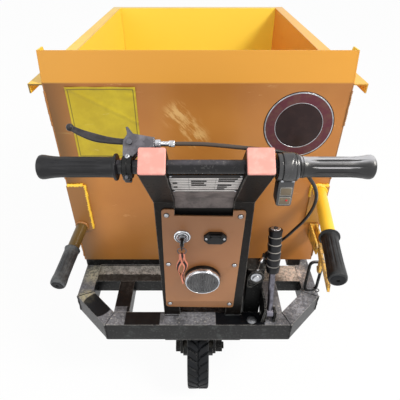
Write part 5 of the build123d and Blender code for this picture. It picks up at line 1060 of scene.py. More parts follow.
# %% [markdown]
# Most of the controls stand on three planes: the panel between the lower posts, the console between the bent
# upper posts, and the plane in which the brake lever swings. A place on each is given as on its drawing,
# across, up and out, and the helpers below turn it into a place in the scene.

# %% Planes of the column
ACROSS = Vector((1, 0, 0))
UPRIGHT = Vector((0, 0, 1))
REARWARD = Vector((0, -1, 0))
FORWARD = Vector((0, 1, 0))
COLUMN_X = 12.0
BEND = drawn(COLUMN_X, 25, 735)
LEAN = math.radians(4.0)
LOWER_UP = Vector((0, -math.sin(LEAN), math.cos(LEAN)))
PANEL_TURN = math.radians(-1.3)
PANEL_ACROSS = ACROSS * math.cos(PANEL_TURN) + LOWER_UP * math.sin(PANEL_TURN)
PANEL_REAR = Vector((0, -math.cos(LEAN), -math.sin(LEAN)))
PANEL_UP = PANEL_REAR.cross(PANEL_ACROSS)
PANEL_FACE = 23.0           # the panel's face in front of the middle of the posts
SLOPE = math.radians(47.6)
CONSOLE_UP = Vector((0, -math.cos(SLOPE), math.sin(SLOPE)))
CONSOLE_OUT = ACROSS.cross(CONSOLE_UP)
CONSOLE_FACE = 12.0
BAR_ALONG = 176.0           # from the bend to the handlebar, along the upper posts
BAR = BEND + CONSOLE_UP * BAR_ALONG * MM
LEVER_OUT = Vector((0, math.sqrt(0.5), math.sqrt(0.5)))
LEVER_OVER = ACROSS.cross(LEVER_OUT)
TO_EYE = (EYE - BAR).normalized()


def on_panel(across, up, out=0.0):
    """A place on the panel's face, from the bend of the posts."""
    return BEND + MM * (PANEL_ACROSS * across + PANEL_UP * up + PANEL_REAR * (PANEL_FACE + out))


def by_bar(across, out, over=0.0):
    """A place beside the handlebar, in the plane of the brake lever."""
    return BAR + MM * (ACROSS * across + LEVER_OUT * out + LEVER_OVER * over)


print("bar at", [round(value, 4) for value in BAR])

# %% [markdown]
# The handlebar grips are moulded rubber: a thin flange at the left grip's inner end, a waist, long shallow
# flutes that run out to a point, and a flared, rounded end. A turned profile gives the body, and a dent that
# depends on the angle presses the flutes in.

# %% Handlebar grips
FLUTES = 10
FLUTE_DEPTH = 1.3
GRIP_FLARE = [(217, 15.6), (226, 16.2), (234, 17.2), (240.5, 18.3), (244.5, 18.5), (247.3, 17.6),
              (248.8, 15.6), (249.1, 13.5), (249.1, 0.3)]


def flutes(first, last, rise=14.0, fall=34.0, count=FLUTES, depth=FLUTE_DEPTH, core=14.0):
    """Long flutes between two places along a grip, pointed where they run out."""
    def dent(angle, along, radius):
        share = min(1.0, (along - first) / rise, (last - along) / fall)
        if share <= 0 or radius < core:
            return radius
        return radius - depth * max(0.0, math.cos(count * angle) - (1.0 - share))
    return dent


def bar_bore(start, radius):
    """The hole for the bar, from its blind end to the grip's inner end."""
    return [(245.1, 0.3), (245.1, radius), (start, radius)]


left_flange = [(132, 19.6), (132.8, 20.5), (135, 20.5), (136, 19.8), (136.8, 17.0), (139, 15.9), (150, 15.5)]
left_rows = bar_bore(132, 11.1) + left_flange + GRIP_FLARE
left_grip = Shape(grip_rubber)
left_grip.turned(filled(left_rows), BAR, -ACROSS, 120, flutes(148, 236), across=TO_EYE)
left_grip.piece("left_grip_rubber", "chassis", ["left_grip"])

twist_collar = [(138, 15.8), (138.8, 16.5), (141, 16.5), (141.6, 15.9), (142.4, 15.9), (143, 16.5),
                (146, 16.4), (147, 15.9), (149, 15.7), (155, 15.5)]
twist_rows = bar_bore(138, 11.15) + twist_collar + GRIP_FLARE
twist_flutes = flutes(152, 238, depth=1.7 * FLUTE_DEPTH)
twist_grip = Shape(throttle_rubber)
twist_grip.turned(filled(twist_rows), BAR, ACROSS, 120, twist_flutes, across=TO_EYE)
twist_grip.piece("twist_grip_rubber", "throttle", ["throttle_grip"])

# %% [markdown]
# The tipping handles carry the same kind of rubber, pushed on from the end, with a lip round the inner end
# and a small air hole in the tip. They are turned like the handlebar grips and share their flutes, so another
# length or lip is only another row of sizes. The right one is more worn, the left one greyer with dust.

# %% Tipping grips
HANDLE_FEET = (((-308, 189, 515), 178.0, (-6.0, -10.0), 19.5),
               ((303, 189, 627), 284.0, (-8.0, -1.5), 22.5))     # foot, length, slants and radius of the lip
HANDLE_GRIP_LENGTH = 118.0
LEFT_GRIP_CUT = 16.0         # the left rubber is this much shorter at its inner end


def handle_direction(sideways, upwards):
    """The way a handle points, by its slants in degrees."""
    side, rise = math.radians(sideways), math.radians(upwards)
    return Vector((math.sin(side), -math.cos(side) * math.cos(rise), math.sin(rise))).normalized()


tipping_grip = Shape(dusty_rubber)
for foot, length, angles, lip in HANDLE_FEET:
    on_left = foot[0] < 0
    tipping_grip.wear(dusty_rubber if on_left else worn_rubber)
    start = length - HANDLE_GRIP_LENGTH + (LEFT_GRIP_CUT if on_left else 0.0)
    way = handle_direction(*angles)
    bore = [(length, 0.3), (length, 14.4), (start, 14.6)]
    lip_rows = [(start, lip - 0.8), (start + 1, lip), (start + 3.2, lip), (start + 5, 18.6),
                (start + 9, 17.6)]
    body = [(start + 40, 17.2), (start + 80, 17.4), (length - 12, 18.4), (length - 3, 18.5)]
    tip = [(length + 1.5, 17.4), (length + 3.4, 15.2), (length + 4, 12.5), (length + 4, 3.4),
           (length + 2, 3.0), (length + 2, 0.3)]
    shallow = flutes(start + 12, length - 4, rise=12.0, fall=26.0, count=12, depth=1.1, core=15.5)
    tipping_grip.turned(filled(bore + lip_rows + body + tip), drawn(*foot), way, 96, shallow)
    tipping_grip.wear(tyre_rubber)
    end_pad = [(length + 2, 3.0), (length + 4.3, 3.4), (length + 4.6, 4.2), (length + 4.6, 13.4),
               (length + 4, 14.2), (length + 2, 14.0)]
    tipping_grip.tube(end_pad, drawn(*foot), way, 48)
tipping_grip.piece("tipping_grip_rubber", "hopper", ["tipping_grips"])

# %% [markdown]
# The throttle housing is two moulded halves round the bar. The slanting seam between them, the ring grooves
# and the small battery gauge that hangs below it are real geometry, so they hold from any side.

# %% Throttle housing
gauge_pane = plastic("gauge_pane", tone(112, 100, 82), tone(150, 138, 118), 0.12)
gauge_rim = plastic("gauge_rim", tone(150, 146, 138), tone(176, 172, 164), 0.3)
spot_red = plastic("spot_red", tone(206, 40, 44), tone(228, 84, 84), 0.3)
SEAM_MIDDLE = 124.0
SEAM_SLANT = -6.4           # millimetres along the bar per radian


def slanting_seam(angle, along, radius):
    """A fine groove round the barrel, which moves along as it turns."""
    if radius < 20.0 or along < 113.5:
        return radius
    turn = (angle + math.pi) % math.tau - math.pi
    away = along - SEAM_MIDDLE - SEAM_SLANT * turn
    return radius - 0.9 * math.exp(-(away / 0.8) ** 2)


housing = Shape(housing_plastic)
barrel = [(105, 11.2), (105, 18.5), (106, 20.4), (111.5, 20.8), (112, 19.8), (112.6, 19.8), (113.2, 22),
          (115, 22.5), (129, 22.5), (130.5, 22), (131, 21), (131.8, 21), (132.3, 21.8), (135, 21),
          (136.8, 19.2), (137.7, 17), (137.7, 11.2)]
housing.turned(filled(barrel, 1.0), BAR, ACROSS, 96, slanting_seam, hollow=True, across=TO_EYE)
POD_MIDDLE = 121.35
POD_HALF_WIDTH, POD_HALF_DEPTH = 12.0, 15.0
pod_top = (BAR + ACROSS * POD_MIDDLE * MM, ACROSS, FORWARD)
pod_outline = box_outline(-POD_HALF_WIDTH, POD_HALF_WIDTH, -POD_HALF_DEPTH, POD_HALF_DEPTH, 4.0)
housing.slab(pod_outline, pod_top, -62, -17, 1.6)
pod_face = (BAR + MM * (ACROSS * POD_MIDDLE + REARWARD * POD_HALF_DEPTH), ACROSS, UPRIGHT)
for low, high in ((-42.0, -26.5), (-59.0, -44.0)):
    housing.wear(gauge_rim)
    housing.slab(box_outline(-9.2, 9.2, low, high, 1.6), pod_face, -1.0, 0.7, 0.3)
    housing.wear(gauge_pane)
    housing.slab(box_outline(-8.0, 8.0, low + 1.3, high - 1.3, 1.0), pod_face, 0.2, 1.1, 0.3)
housing.wear(spot_red)
spot_place = pod_face[0] + MM * (ACROSS * 2.5 - UPRIGHT * 50.0)
housing.turned([(0.6, 1.7), (1.5, 1.7), (1.9, 1.1), (1.9, 0.2)], spot_place, REARWARD, 16)
housing.wear(zinc)
for side in (-8.0, 8.0):
    housing.cross_screw(by_bar(POD_MIDDLE + side, 0, 0) - LEVER_OUT * 22.2 * MM, -LEVER_OUT, 2.6)
housing.piece("throttle_case", "chassis", ["throttle_housing"])

# %% [markdown]
# The brake lever is a forged blade that sweeps forward of the grip and ends in a ball. Its section shrinks
# along a flowing line, which a flat cut-out would not show. It turns in the slot of its perch, and a cross
# screw holds the perch's clamp.

# %% Brake lever
LEVER_PIVOT = (-114.0, 36.0)
LEVER_LINE = ((4, 0), (-2, 3), (-12, 3.3), (-31, 5.2), (-54, 9.8), (-76, 17.5), (-93, 26))
LEVER_WIDTHS = (5.0, 6.2, 4.8, 5.2, 6.4, 5.4, 4.0)
LEVER_HALF = 2.9
lever_black = plastic("lever_black", tone(40, 38, 40), tone(84, 78, 80), 0.3)
blade_places = [by_bar(LEVER_PIVOT[0] + x, LEVER_PIVOT[1] + y) for x, y in flowing(LEVER_LINE, 6)]
blade_sizes = [(1.0, width[0]) for width in flowing([(width, 0) for width in LEVER_WIDTHS], 6)]
blade_section = [(LEVER_HALF * math.copysign(abs(math.cos(turn)) ** 0.7, math.cos(turn)),
                  math.copysign(abs(math.sin(turn)) ** 0.8, math.sin(turn)))
                 for turn in turns(20)]
brake_lever = Shape(lever_black)
brake_lever.swept(blade_places, blade_section, LEVER_OUT, blade_sizes)
lever_eye = [(-3, 3.2), (-3, 7.2), (-2.4, 8), (2.4, 8), (3, 7.2), (3, 3.2)]
brake_lever.tube(lever_eye, by_bar(*LEVER_PIVOT), LEVER_OVER, 32)
brake_lever.ball(blade_places[-1], 6.0)
brake_lever.piece("brake_lever_blade", "brake_hand_lever", ["brake_lever"])

PERCH_ARM = [(-124, 12), (-109, 12), (-101, 24), (-77, 28), (-77, 44), (-101, 48), (-110, 48.5), (-117.5, 61),
             (-121, 60), (-117, 48), (-124, 40), (-124, 32)]
PERCH_WEBS = ([(-103, 23.3), (-77, 28), (-77, 44), (-103, 47.8)],
              [(-124, 12), (-109, 12), (-105, 18.5), (-124, 18.5)])
perch_frame = (BAR, ACROSS, LEVER_OUT)
perch = Shape(perch_plastic)
for low in (3.3, -8.0):
    perch.slab(PERCH_ARM, perch_frame, low, low + 4.7, 1.2)
for web in PERCH_WEBS:
    perch.slab(web, perch_frame, -4.0, 4.0)
perch.wear(case_plastic)
perch_clamp = [(-124, 11.1), (-124, 16), (-123, 17), (-117.2, 17), (-116.8, 16.4), (-116.2, 16.4),
               (-115.8, 17), (-110, 17), (-109, 16), (-109, 11.1)]
perch.tube(perch_clamp, BAR, ACROSS, 48)
for side in (-7.0, 7.0):
    perch.slab(box_outline(-122, -111, -22, -14, 2.0), perch_frame, side - 2.4, side + 2.4, 0.6)
perch.wear(dark_zinc)
perch.turned([(-9, 0.3), (-9, 3), (9, 3), (9, 0.3)], by_bar(*LEVER_PIVOT), LEVER_OVER, 20)
perch.turned([(-11, 0.3), (-11, 2.6), (11, 2.6), (11, 0.3)], by_bar(-116.5, -18), LEVER_OVER, 16)
perch.piece("perch_casting", "chassis", ["brake_perch"])

perch_screws = Shape(zinc)
perch_screws.cross_screw(by_bar(-116, 13, 11.5), LEVER_OVER + LEVER_OUT * 0.2, 4.2)
perch_screws.wear(dark_zinc)
perch_screws.hexagon_head(by_bar(*LEVER_PIVOT, 8.6), LEVER_OVER, 8.0, 2.6)
perch_screws.piece("perch_screws", "chassis")

# %% [markdown]
# The chromed adjuster is what a hand turns to take up slack in the brake cable, so its two collars are
# knurled and its neck is threaded. A bump map would do from afar, but chrome shows every edge in its
# reflections, so the thread is turned row by row and the knurl is pressed in by a dent.

# %% Cable adjuster
def knurled(angle, along, radius):
    """Fine grooves along the collars, but not along the neck."""
    if radius < 4.4:
        return radius
    return radius - 0.45 * (0.5 + 0.5 * math.cos(24 * angle))


adjuster_rows = [(0, 0.3), (0, 5.6), (0.9, 6.5), (8.1, 6.5), (9, 5.6), (9, 4.2)]
for turn in range(8):
    adjuster_rows += [(9.6 + 1.4 * turn, 4.3), (10.3 + 1.4 * turn, 3.8)]
adjuster_rows += [(21, 4.2), (21, 4.6), (21.8, 5.0), (29.2, 5.0), (30, 4.4), (30, 0.3)]
adjuster = Shape(chrome)
adjuster.turned(adjuster_rows, by_bar(-77, 36), ACROSS, 96, knurled)
adjuster.piece("knurled_adjuster", "chassis", ["cable_adjuster"])

# %% [markdown]
# The sloped console carries a riveted plate of pale sheet, printed with rules and bars like an empty form.
# Below it the black sheet is grey with cement dust, and a folded apron carries it on down behind the panel.
# The rules are left standing between raised pale fields, so they need no picture and stay sharp close by.

# %% Console plate
plate_white = plastic("plate_white", tone(232, 228, 226), tone(196, 190, 188), 0.4)
rule_black = plastic("rule_black", tone(22, 21, 21), tone(48, 46, 45), 0.5)
console_frame = (BEND + CONSOLE_OUT * CONSOLE_FACE * MM, ACROSS, CONSOLE_UP)
plate = Shape(rule_black)
plate.slab(box_outline(-57.5, 57.5, 68, 174, 2.0), console_frame, -0.2, 0.5, 0.15)
plate.slab(box_outline(-57.5, 57.5, 158, 169), console_frame, -2.5, 0.2)
RULE_PITCH, RULE_FIRST, RULE_LAST = 12.8, 84.0, 173.0
RULE_HALF = 2.5
RULE_COLUMNS = (-57, -27, 16, 57)
INK_INSET = 4.0
FIELD_MARKS = {(0, 2): 0.4, (1, 0): 0.3, (1, 2): 0.5, (2, 1): 0.7, (2, 2): 0.7, (3, 1): 0.6, (3, 0): 0.35,
               (4, 2): 0.8, (4, 1): 0.7, (5, 2): 0.9}      # share of a row's and column's field that is inked
row_count = int((RULE_LAST - RULE_FIRST) / RULE_PITCH)
for row in range(row_count):
    low = RULE_FIRST + RULE_PITCH * row
    for column, (left, right) in enumerate(zip(RULE_COLUMNS, RULE_COLUMNS[1:])):
        plate.wear(plate_white)
        field = box_outline(left + 0.2, right - 0.2, low + RULE_HALF, low + RULE_PITCH - RULE_HALF)
        plate.slab(field, console_frame, 0.3, 0.75)
        plate.wear(rule_black)
        if (row, column) in FIELD_MARKS:
            ink_end = left + INK_INSET + (right - left - 2 * INK_INSET) * FIELD_MARKS[row, column]
            ink = box_outline(left + INK_INSET, ink_end, low + 3.4, low + RULE_PITCH - 3.4)
            plate.slab(ink, console_frame, 0.5, 0.85)
plate.wear(plate_white)
plate.slab(box_outline(-52, 52, 72, 79, 1.0), console_frame, 0.3, 0.7)
plate.wear(zinc)
for across in (-54, 54):
    for along in (72, 168):
        spot = console_frame[0] + MM * (ACROSS * across + CONSOLE_UP * along)
        plate.turned([(0, 2.4), (0.9, 2.3), (1.6, 1.4), (1.8, 0.2)], spot, CONSOLE_OUT, 16)
plate.piece("console_plate", "chassis")

APRON_HALF = 57.6
# The apron carries cement dust on its upper part; its black lower part fills the shaded gap above the panel,
# as painted shade.
apron = Shape(console_paint)
apron_fold = [(3.0, 746.0), (11.8, 733.4), (15.4, 684.0), (17.0, 684.1), (13.4, 734.1), (4.4, 747.0)]
apron.slab(apron_fold, (drawn(COLUMN_X, 0, 0), FORWARD, UPRIGHT), -APRON_HALF, APRON_HALF)
apron.piece("console_apron", "chassis")

# %% [markdown]
# Six cross-head screws hold the panel. Their recess is pressed into the turned head by pulling the inner
# rings into the shape of a cross.

# %% Panel screws
screws = Shape(zinc)
screw_washer = [(-0.3, 5.9), (0.5, 5.9), (0.9, 5.4), (0.9, 2)]
for across in (-73.5, 73.5):
    for up in (-39.0, -185.5, -332.0):
        screws.wear(case_plastic)
        screws.turned(screw_washer, on_panel(across, up), PANEL_REAR, 24)
        screws.wear(zinc)
        screws.cross_screw(on_panel(across, up, 0.6), PANEL_REAR, 4.7)
screws.piece("panel_cross_screws", "chassis", ["panel_screws"])

# %% [markdown]
# The ignition switch is a chromed nut with a dark gap round its lock. The key turns in it, and its bow is
# clad in black plastic. A steel ring and a folded strap with pale red edges hang from the bow and swing.
# The strap is short and stiff, so each strand is swept along a few listed places with a twist instead of
# being simulated.

# %% Ignition switch, key and strap
KEY_PLACE = (-42.5, -96.5)
KEY_HOLE = (-5.5, 28.8)      # up and out from the middle of the key
switch = Shape(chrome)
key_middle = on_panel(*KEY_PLACE)
nut_and_lock = [(-34, 7), (-34, 11), (-0.5, 11), (-0.5, 18), (2.6, 18), (4.4, 16.9), (5, 15.6), (4.2, 14.6),
                (2.4, 14.4), (2.4, 12.8), (4.6, 12.5), (5.3, 11.2), (5, 9.4), (3.4, 8.8), (3.2, 7)]
dark_gap = [(2.0, 14.8), (3.2, 14.5), (3.2, 12.7), (2.0, 12.4)]
switch.tube(nut_and_lock, key_middle, PANEL_REAR, 48)
switch.wear(case_plastic)
switch.tube(dark_gap, key_middle, PANEL_REAR, 48)
switch.piece("switch_nut", "chassis", ["ignition_switch"])

key_plane = (key_middle, PANEL_REAR, PANEL_UP)
key = Shape(steel)
key.turned([(-6, 0.3), (-6, 6.4), (5.2, 6.4), (5.9, 5.7), (5.9, 0.3)], key_middle, PANEL_REAR, 32)
key.slab(box_outline(5, 15, -4.4, 4.4, 0.8), key_plane, -1.2, 1.2, 0.3)
key.slab(box_outline(6, 13, -3.0, 3.0, 0.8), key_plane, -3.2, 3.2, 0.5)
key.wear(case_plastic)
key.slab(box_outline(12, 24, -9.5, 9.5, 4.0), key_plane, -4.4, 4.4, 1.0)
key.slab(box_outline(12, 36, -11, 11, 7.6), key_plane, -1.3, 1.3,
         holes=[[(KEY_HOLE[1] + a, KEY_HOLE[0] + b) for a, b in circle(2.8, 16)]])
key.piece("key_with_bow", "key", ["ignition_key"])

hole_place = on_panel(KEY_PLACE[0], KEY_PLACE[1] + KEY_HOLE[0], KEY_HOLE[1])


def by_hole(across, down, out=0.0):
    """A place that hangs below the hole in the key's bow."""
    return hole_place + MM * (PANEL_ACROSS * across - PANEL_UP * down + PANEL_REAR * out)


fob = Shape(dark_zinc)
RING_MIDDLE, RING_REACH = 8.4, 9.0
ring_places = [by_hole(RING_REACH * math.sin(turn), RING_MIDDLE - RING_REACH * math.cos(turn))
               for turn in turns(40)]
fob.swept(ring_places, circle(1.0, 8), PANEL_REAR, loop=True)
STRAP_LEFT = ((0, 15.6, -1), (-1, 26, 0), (-2, 38, 0), (-7.5, 52, 1), (-8.5, 68, 0), (-4, 84, -1),
              (0, 96, 0), (3.4, 110, 0))
STRAP_RIGHT = ((0.6, 15.6, 1), (1.4, 26, 1), (3, 38, 1), (8, 50, 2), (6.5, 64, 2), (2, 78, 1),
               (1.6, 92, 0), (4, 108, 0))
STRAP_SECTION = [(-5.0, -0.7), (5.0, -0.7), (5.5, 0), (5.0, 0.7), (-5.0, 0.7), (-5.5, 0)]
STRIPE_SECTION = [(-2.2, -1.1), (2.2, -1.1), (2.2, 1.1), (-2.2, 1.1)]
for line, twist in ((STRAP_LEFT, 1.9), (STRAP_RIGHT, -1.4)):
    places = [by_hole(*spot) for spot in flowing(line, 6)]
    fob.wear(strap_pink)
    fob.swept(places, STRAP_SECTION, PANEL_REAR, twist=twist)
    fob.wear(strap_black)
    fob.swept(places, STRIPE_SECTION, PANEL_REAR, twist=twist)
fob.piece("key_ring_and_strap", "fob", ["key_fob"])

# %% [markdown]
# The charging socket is held by two small screws in its ears. The socket and its flap are complete in the
# frame, so only the screws are added here, with the same cross recess as those of the panel.

# %% Socket details
SOCKET_PLACE = (26.0, -98.0)
socket_screws = Shape(zinc)
for side in (-18.5, 18.5):
    socket_screws.cross_screw(on_panel(SOCKET_PLACE[0] + side, SOCKET_PLACE[1], 6.0), PANEL_REAR, 2.9)
socket_screws.piece("socket_screws", "chassis")

# %% [markdown]
# The lamp is a black cup with a chromed bezel, a bright bowl, a bulb and a pressed glass lens. Lamp lenses
# are ribbed to spread the light sideways. The ribs bend what is seen through the glass, which a bump would
# not do, so they are modelled.

# %% Lamp
LAMP_PLACE = (3.5, -229.0)
lamp_middle = on_panel(*LAMP_PLACE)
lamp = Shape(case_plastic)
cup_wall = [(0, 41), (1, 41.4), (8, 41), (9, 40.2), (9, 35.6), (0, 35)]
lamp.tube(cup_wall, lamp_middle, PANEL_REAR, 64)
lamp.wear(chrome)
bezel = [(9, 40.2), (10, 40.9), (12.5, 40.8), (15.5, 40.2), (17.6, 39), (18.4, 37.6), (17.8, 36.6),
         (14.2, 36.2), (9, 36.0)]
lamp.tube(bezel, lamp_middle, PANEL_REAR, 64)
bowl = [(-22, 0.3), (-22, 10), (-18, 19.5), (-9, 28), (5, 34.4), (13, 36.6), (13, 35.2), (5, 32.8), (-8, 26),
        (-16, 17.5), (-19.5, 9), (-20, 0.3)]
lamp.turned(bowl, lamp_middle, PANEL_REAR, 48)
lamp.wear(zinc)
bulb = [(-20, 6.5), (-12, 6.5), (-11, 4), (-4, 5.2), (0, 4.6), (2.4, 2.4), (3, 0.2)]
lamp.turned(bulb, lamp_middle, PANEL_REAR, 24)
lamp.piece("lamp_cup_and_bezel", "chassis", ["lamp_housing"])

LENS_R = 36.0
LENS_OUT, LENS_CROWN, LENS_THICK = 17.4, 2.2, 2.8
RIB_PITCH, RIB_DEPTH = 6.0, 3.2
lens_rings = []
for ring in range(26):
    radius = max(0.2, LENS_R * (1.0 - ring / 25.0))
    ribbed = min(1.0, max(0.0, (LENS_R - 2.0 - radius) / 1.5))
    crown = LENS_CROWN * (1.0 - (radius / LENS_R) ** 2)
    places = []
    for x, y in circle(radius, 96):
        rib = RIB_DEPTH * ribbed * abs(math.sin(math.pi * x / RIB_PITCH))
        places.append(on_panel(LAMP_PLACE[0] + x, LAMP_PLACE[1] + y, LENS_OUT + crown - rib))
    lens_rings.append(places)
back_of_lens = [place - PANEL_REAR * LENS_THICK * MM for place in lens_rings[0]]
lens = Shape(lamp_glass)
lens.skin([back_of_lens] + lens_rings)
lens.piece("ribbed_lens", "chassis", ["lamp_lens"], 50.0)

# %% [markdown]
# The parking brake lever is a drawn steel rod with a stack of rubber cups as its grip. A pale ring shows
# between each two cups. The push button in its top frees the ratchet. One cup is turned in a loop, so the
# number of cups is a single value.

# %% Parking brake lever
PARK_LEAN = math.radians(16.0)
PARK_PIVOT = drawn(180, 22, 372)
PARK_UP = Vector((0, math.sin(PARK_LEAN), math.cos(PARK_LEAN)))
ring_pale = plastic("ring_pale", tone(176, 172, 166), tone(140, 136, 132), 0.45)
CUP_START, CUP_END, CUPS = 117.0, 231.0, 6
parking = Shape(lever_steel)
parking.turned([(6, 7.0), (30, 7.4), (112, 7.6), (209, 7.5)], PARK_PIVOT, PARK_UP, 32)
lever_hub = [(-8.5, 5.2), (-8.5, 10.2), (-7.6, 11), (7.6, 11), (8.5, 10.2), (8.5, 5.2)]
parking.tube(lever_hub, PARK_PIVOT, ACROSS, 40)
cup = (CUP_END - CUP_START) / CUPS
for index in range(CUPS):
    low, high = CUP_START + index * cup, CUP_START + (index + 1) * cup - 1.6
    parking.wear(grip_rubber)
    mouth = 5.3 if index == CUPS - 1 else 7.7
    rows = [(low, 7.7), (low, 13.4), (low + 1.4, 15.0), (low + 8, 15.8), (high - 2.4, 16.6),
            (high - 0.6, 16.3), (high, 15.4), (high, mouth)]
    if index == CUPS - 1:
        rows += [(high - 7, 5.3), (high - 7, 7.7)]
    parking.tube(rows, PARK_PIVOT, PARK_UP, 40)
    if index:
        parking.wear(ring_pale)
        pale_ring = [(low - 1.3, 7.7), (low - 1.3, 15.4), (low - 0.7, 15.8), (low + 0.1, 14.6),
                     (low + 0.1, 7.7)]
        parking.tube(pale_ring, PARK_PIVOT, PARK_UP, 40)
parking.wear(zinc)
ridged = flutes(CUP_END - 2, CUP_END + 2, rise=1.0, fall=1.0, count=16, depth=1.4, core=9.0)
parking.turned([(CUP_END - 2.0, 5.3), (CUP_END - 2.0, 10.6), (CUP_END - 0.8, 11.6), (CUP_END + 0.2, 11.2),
                (CUP_END + 0.8, 9.4), (CUP_END + 0.8, 5.3)], PARK_PIVOT, PARK_UP, 96, ridged, hollow=True)
parking.piece("parking_rod_and_grip", "parking_brake", ["parking_lever"])

push_button = Shape(button_plastic)
push_button.turned([(219, 0.3), (219, 4.9), (CUP_END + 2.4, 4.9), (CUP_END + 3.4, 4.4), (CUP_END + 3.8, 3.0),
                    (CUP_END + 3.4, 2.4), (CUP_END + 3.4, 0.2)], PARK_PIVOT, PARK_UP, 32)
push_button.piece("push_button", "release_button", ["parking_button"])

# %% [markdown]
# The crank under the cable is a black plate with a bright domed bolt through it. Its arm has a hole for the
# rod that goes on to the brakes. It is cut as a press would stamp it: an outline of two arcs with two holes.

# %% Brake crank
CRANK_PLACE = drawn(137, 40, 491)
crank_frame = (CRANK_PLACE, ACROSS, UPRIGHT)
CRANK_ARM = (-12.0, -28.0)
CRANK_R, CRANK_ARM_R = 20.0, 8.0
arm_turn = math.atan2(CRANK_ARM[1], CRANK_ARM[0])
crank_outline = arc((0, 0), CRANK_R, arm_turn + math.radians(50), math.radians(260), 32)
crank_outline += arc(CRANK_ARM, CRANK_ARM_R, arm_turn - math.radians(78), math.radians(156), 16)
rod_hole = [(CRANK_ARM[0] + a, CRANK_ARM[1] + b) for a, b in circle(4.0, 16)]
crank_bolt = [(10, 6.2), (10, 13), (11.4, 13), (11.8, 11.8), (12, 9.5), (14.5, 9.5), (16.6, 8.2), (17.8, 5.4),
              (18, 0.3)]
crank = Shape(soot_paint)
crank.slab(crank_outline, crank_frame, 4.0, 10.0, holes=[circle(6.2, 24), rod_hole])
crank.tube([(10, 20), (12.4, 19.4), (12.4, 16.4), (10, 15.8)], CRANK_PLACE, REARWARD, 40)
crank.wear(zinc)
crank.turned(crank_bolt, CRANK_PLACE, REARWARD, 40)
crank.piece("crank_and_bolt", "crank", ["brake_crank"])

# %% [markdown]
# The brake post is a capped tube with a slim arm at its side. The arm ends in a short tube that stops the
# cable's sheath. From there the bare inner wire runs to the crank. It is short and tight, so it is straight.

# %% Brake post, ferrule and wire
CABLE_END = drawn(*CABLE_ROUTE[-1])
CABLE_HOLD = CABLE_END.lerp(drawn(*CABLE_ROUTE[-2]), 0.5)
cable_run = (CABLE_END - drawn(*CABLE_ROUTE[-2])).normalized()
brake_post = Shape(soot_paint)
brake_post.slab(box_outline(-20, 20, -20, 20, 3.0), (drawn(137, 60, 0), ACROSS, FORWARD), 290, 505, 0.8)
brake_post.turned([(-2, 5.8), (9.4, 5.8), (9.4, 0.3)], CRANK_PLACE, REARWARD, 24)
stop_arm = [(50, 452), (64, 446), (68, 500), (80, 513), (80, 521), (72, 521), (62, 506), (50, 503)]
brake_post.slab(stop_arm, (drawn(0, 0, 0), FORWARD, UPRIGHT), 156, 160, 0.6)
brake_post.tube([(-9, 3.6), (-9, 5.6), (9, 5.6), (9, 3.6)], CABLE_HOLD, cable_run, 24)
brake_post.piece("brake_post_and_stop", "chassis", ["brake_post"])
WIRE_END = drawn(139, 33, 512.4)
ferrule = Shape(zinc)
ferrule.turned([(-16, 3.4), (-16, 4.2), (-14.5, 4.4), (3, 4.4), (4, 3.6), (4, 1.0)], CABLE_END, cable_run, 24)
ferrule.wear(steel)
wire_places = [CABLE_END + cable_run * 3 * MM, CABLE_END.lerp(WIRE_END, 0.5), WIRE_END]
ferrule.swept(wire_places, circle(0.9, 10), UPRIGHT)
ferrule.turned([(-2.6, 0.3), (-2.6, 2.2), (2.6, 2.2), (2.6, 0.3)], WIRE_END, ACROSS, 16)
ferrule.piece("cable_ferrule_and_wire", "chassis")

# %% [markdown]
# The hopper and the frame are welded, and the beads show. The hopper's beads are sprayed with the rest: the
# bright yellow of the beads on the handle plates and the right handle's ring is painted sunlight, and the
# darker paint of the left handle's ring and the outer wall seams is painted shade. A bead is a row of
# overlapping scales, which a swept section with an uneven size gives. The thin black strip that stands up
# along the front of the middle crossbar goes with the frame's beads; it fills the gap under the hopper as
# painted shade.

# %% Weld beads
PLATE_IN, PLATE_OUT, PLATE_TOP = 281.0, 325.0, 642.0
PLATE_SEAM, WALL_SEAM = 192.5, 195.6            # along the barrow, on the outside of the rear wall
REAR_SEAM, FRONT_SEAM = 199.0, 1143.0           # and inside the hopper
OUTER_SEAM, INNER_SEAM = 324.4, 321.0           # across it, outside and inside
FLOOR_SEAM = 391.5


def weld(beads, start, end, radius):
    """A straight bead between two places on the drawing."""
    beads.bead([drawn(*start), drawn(*end)], radius)


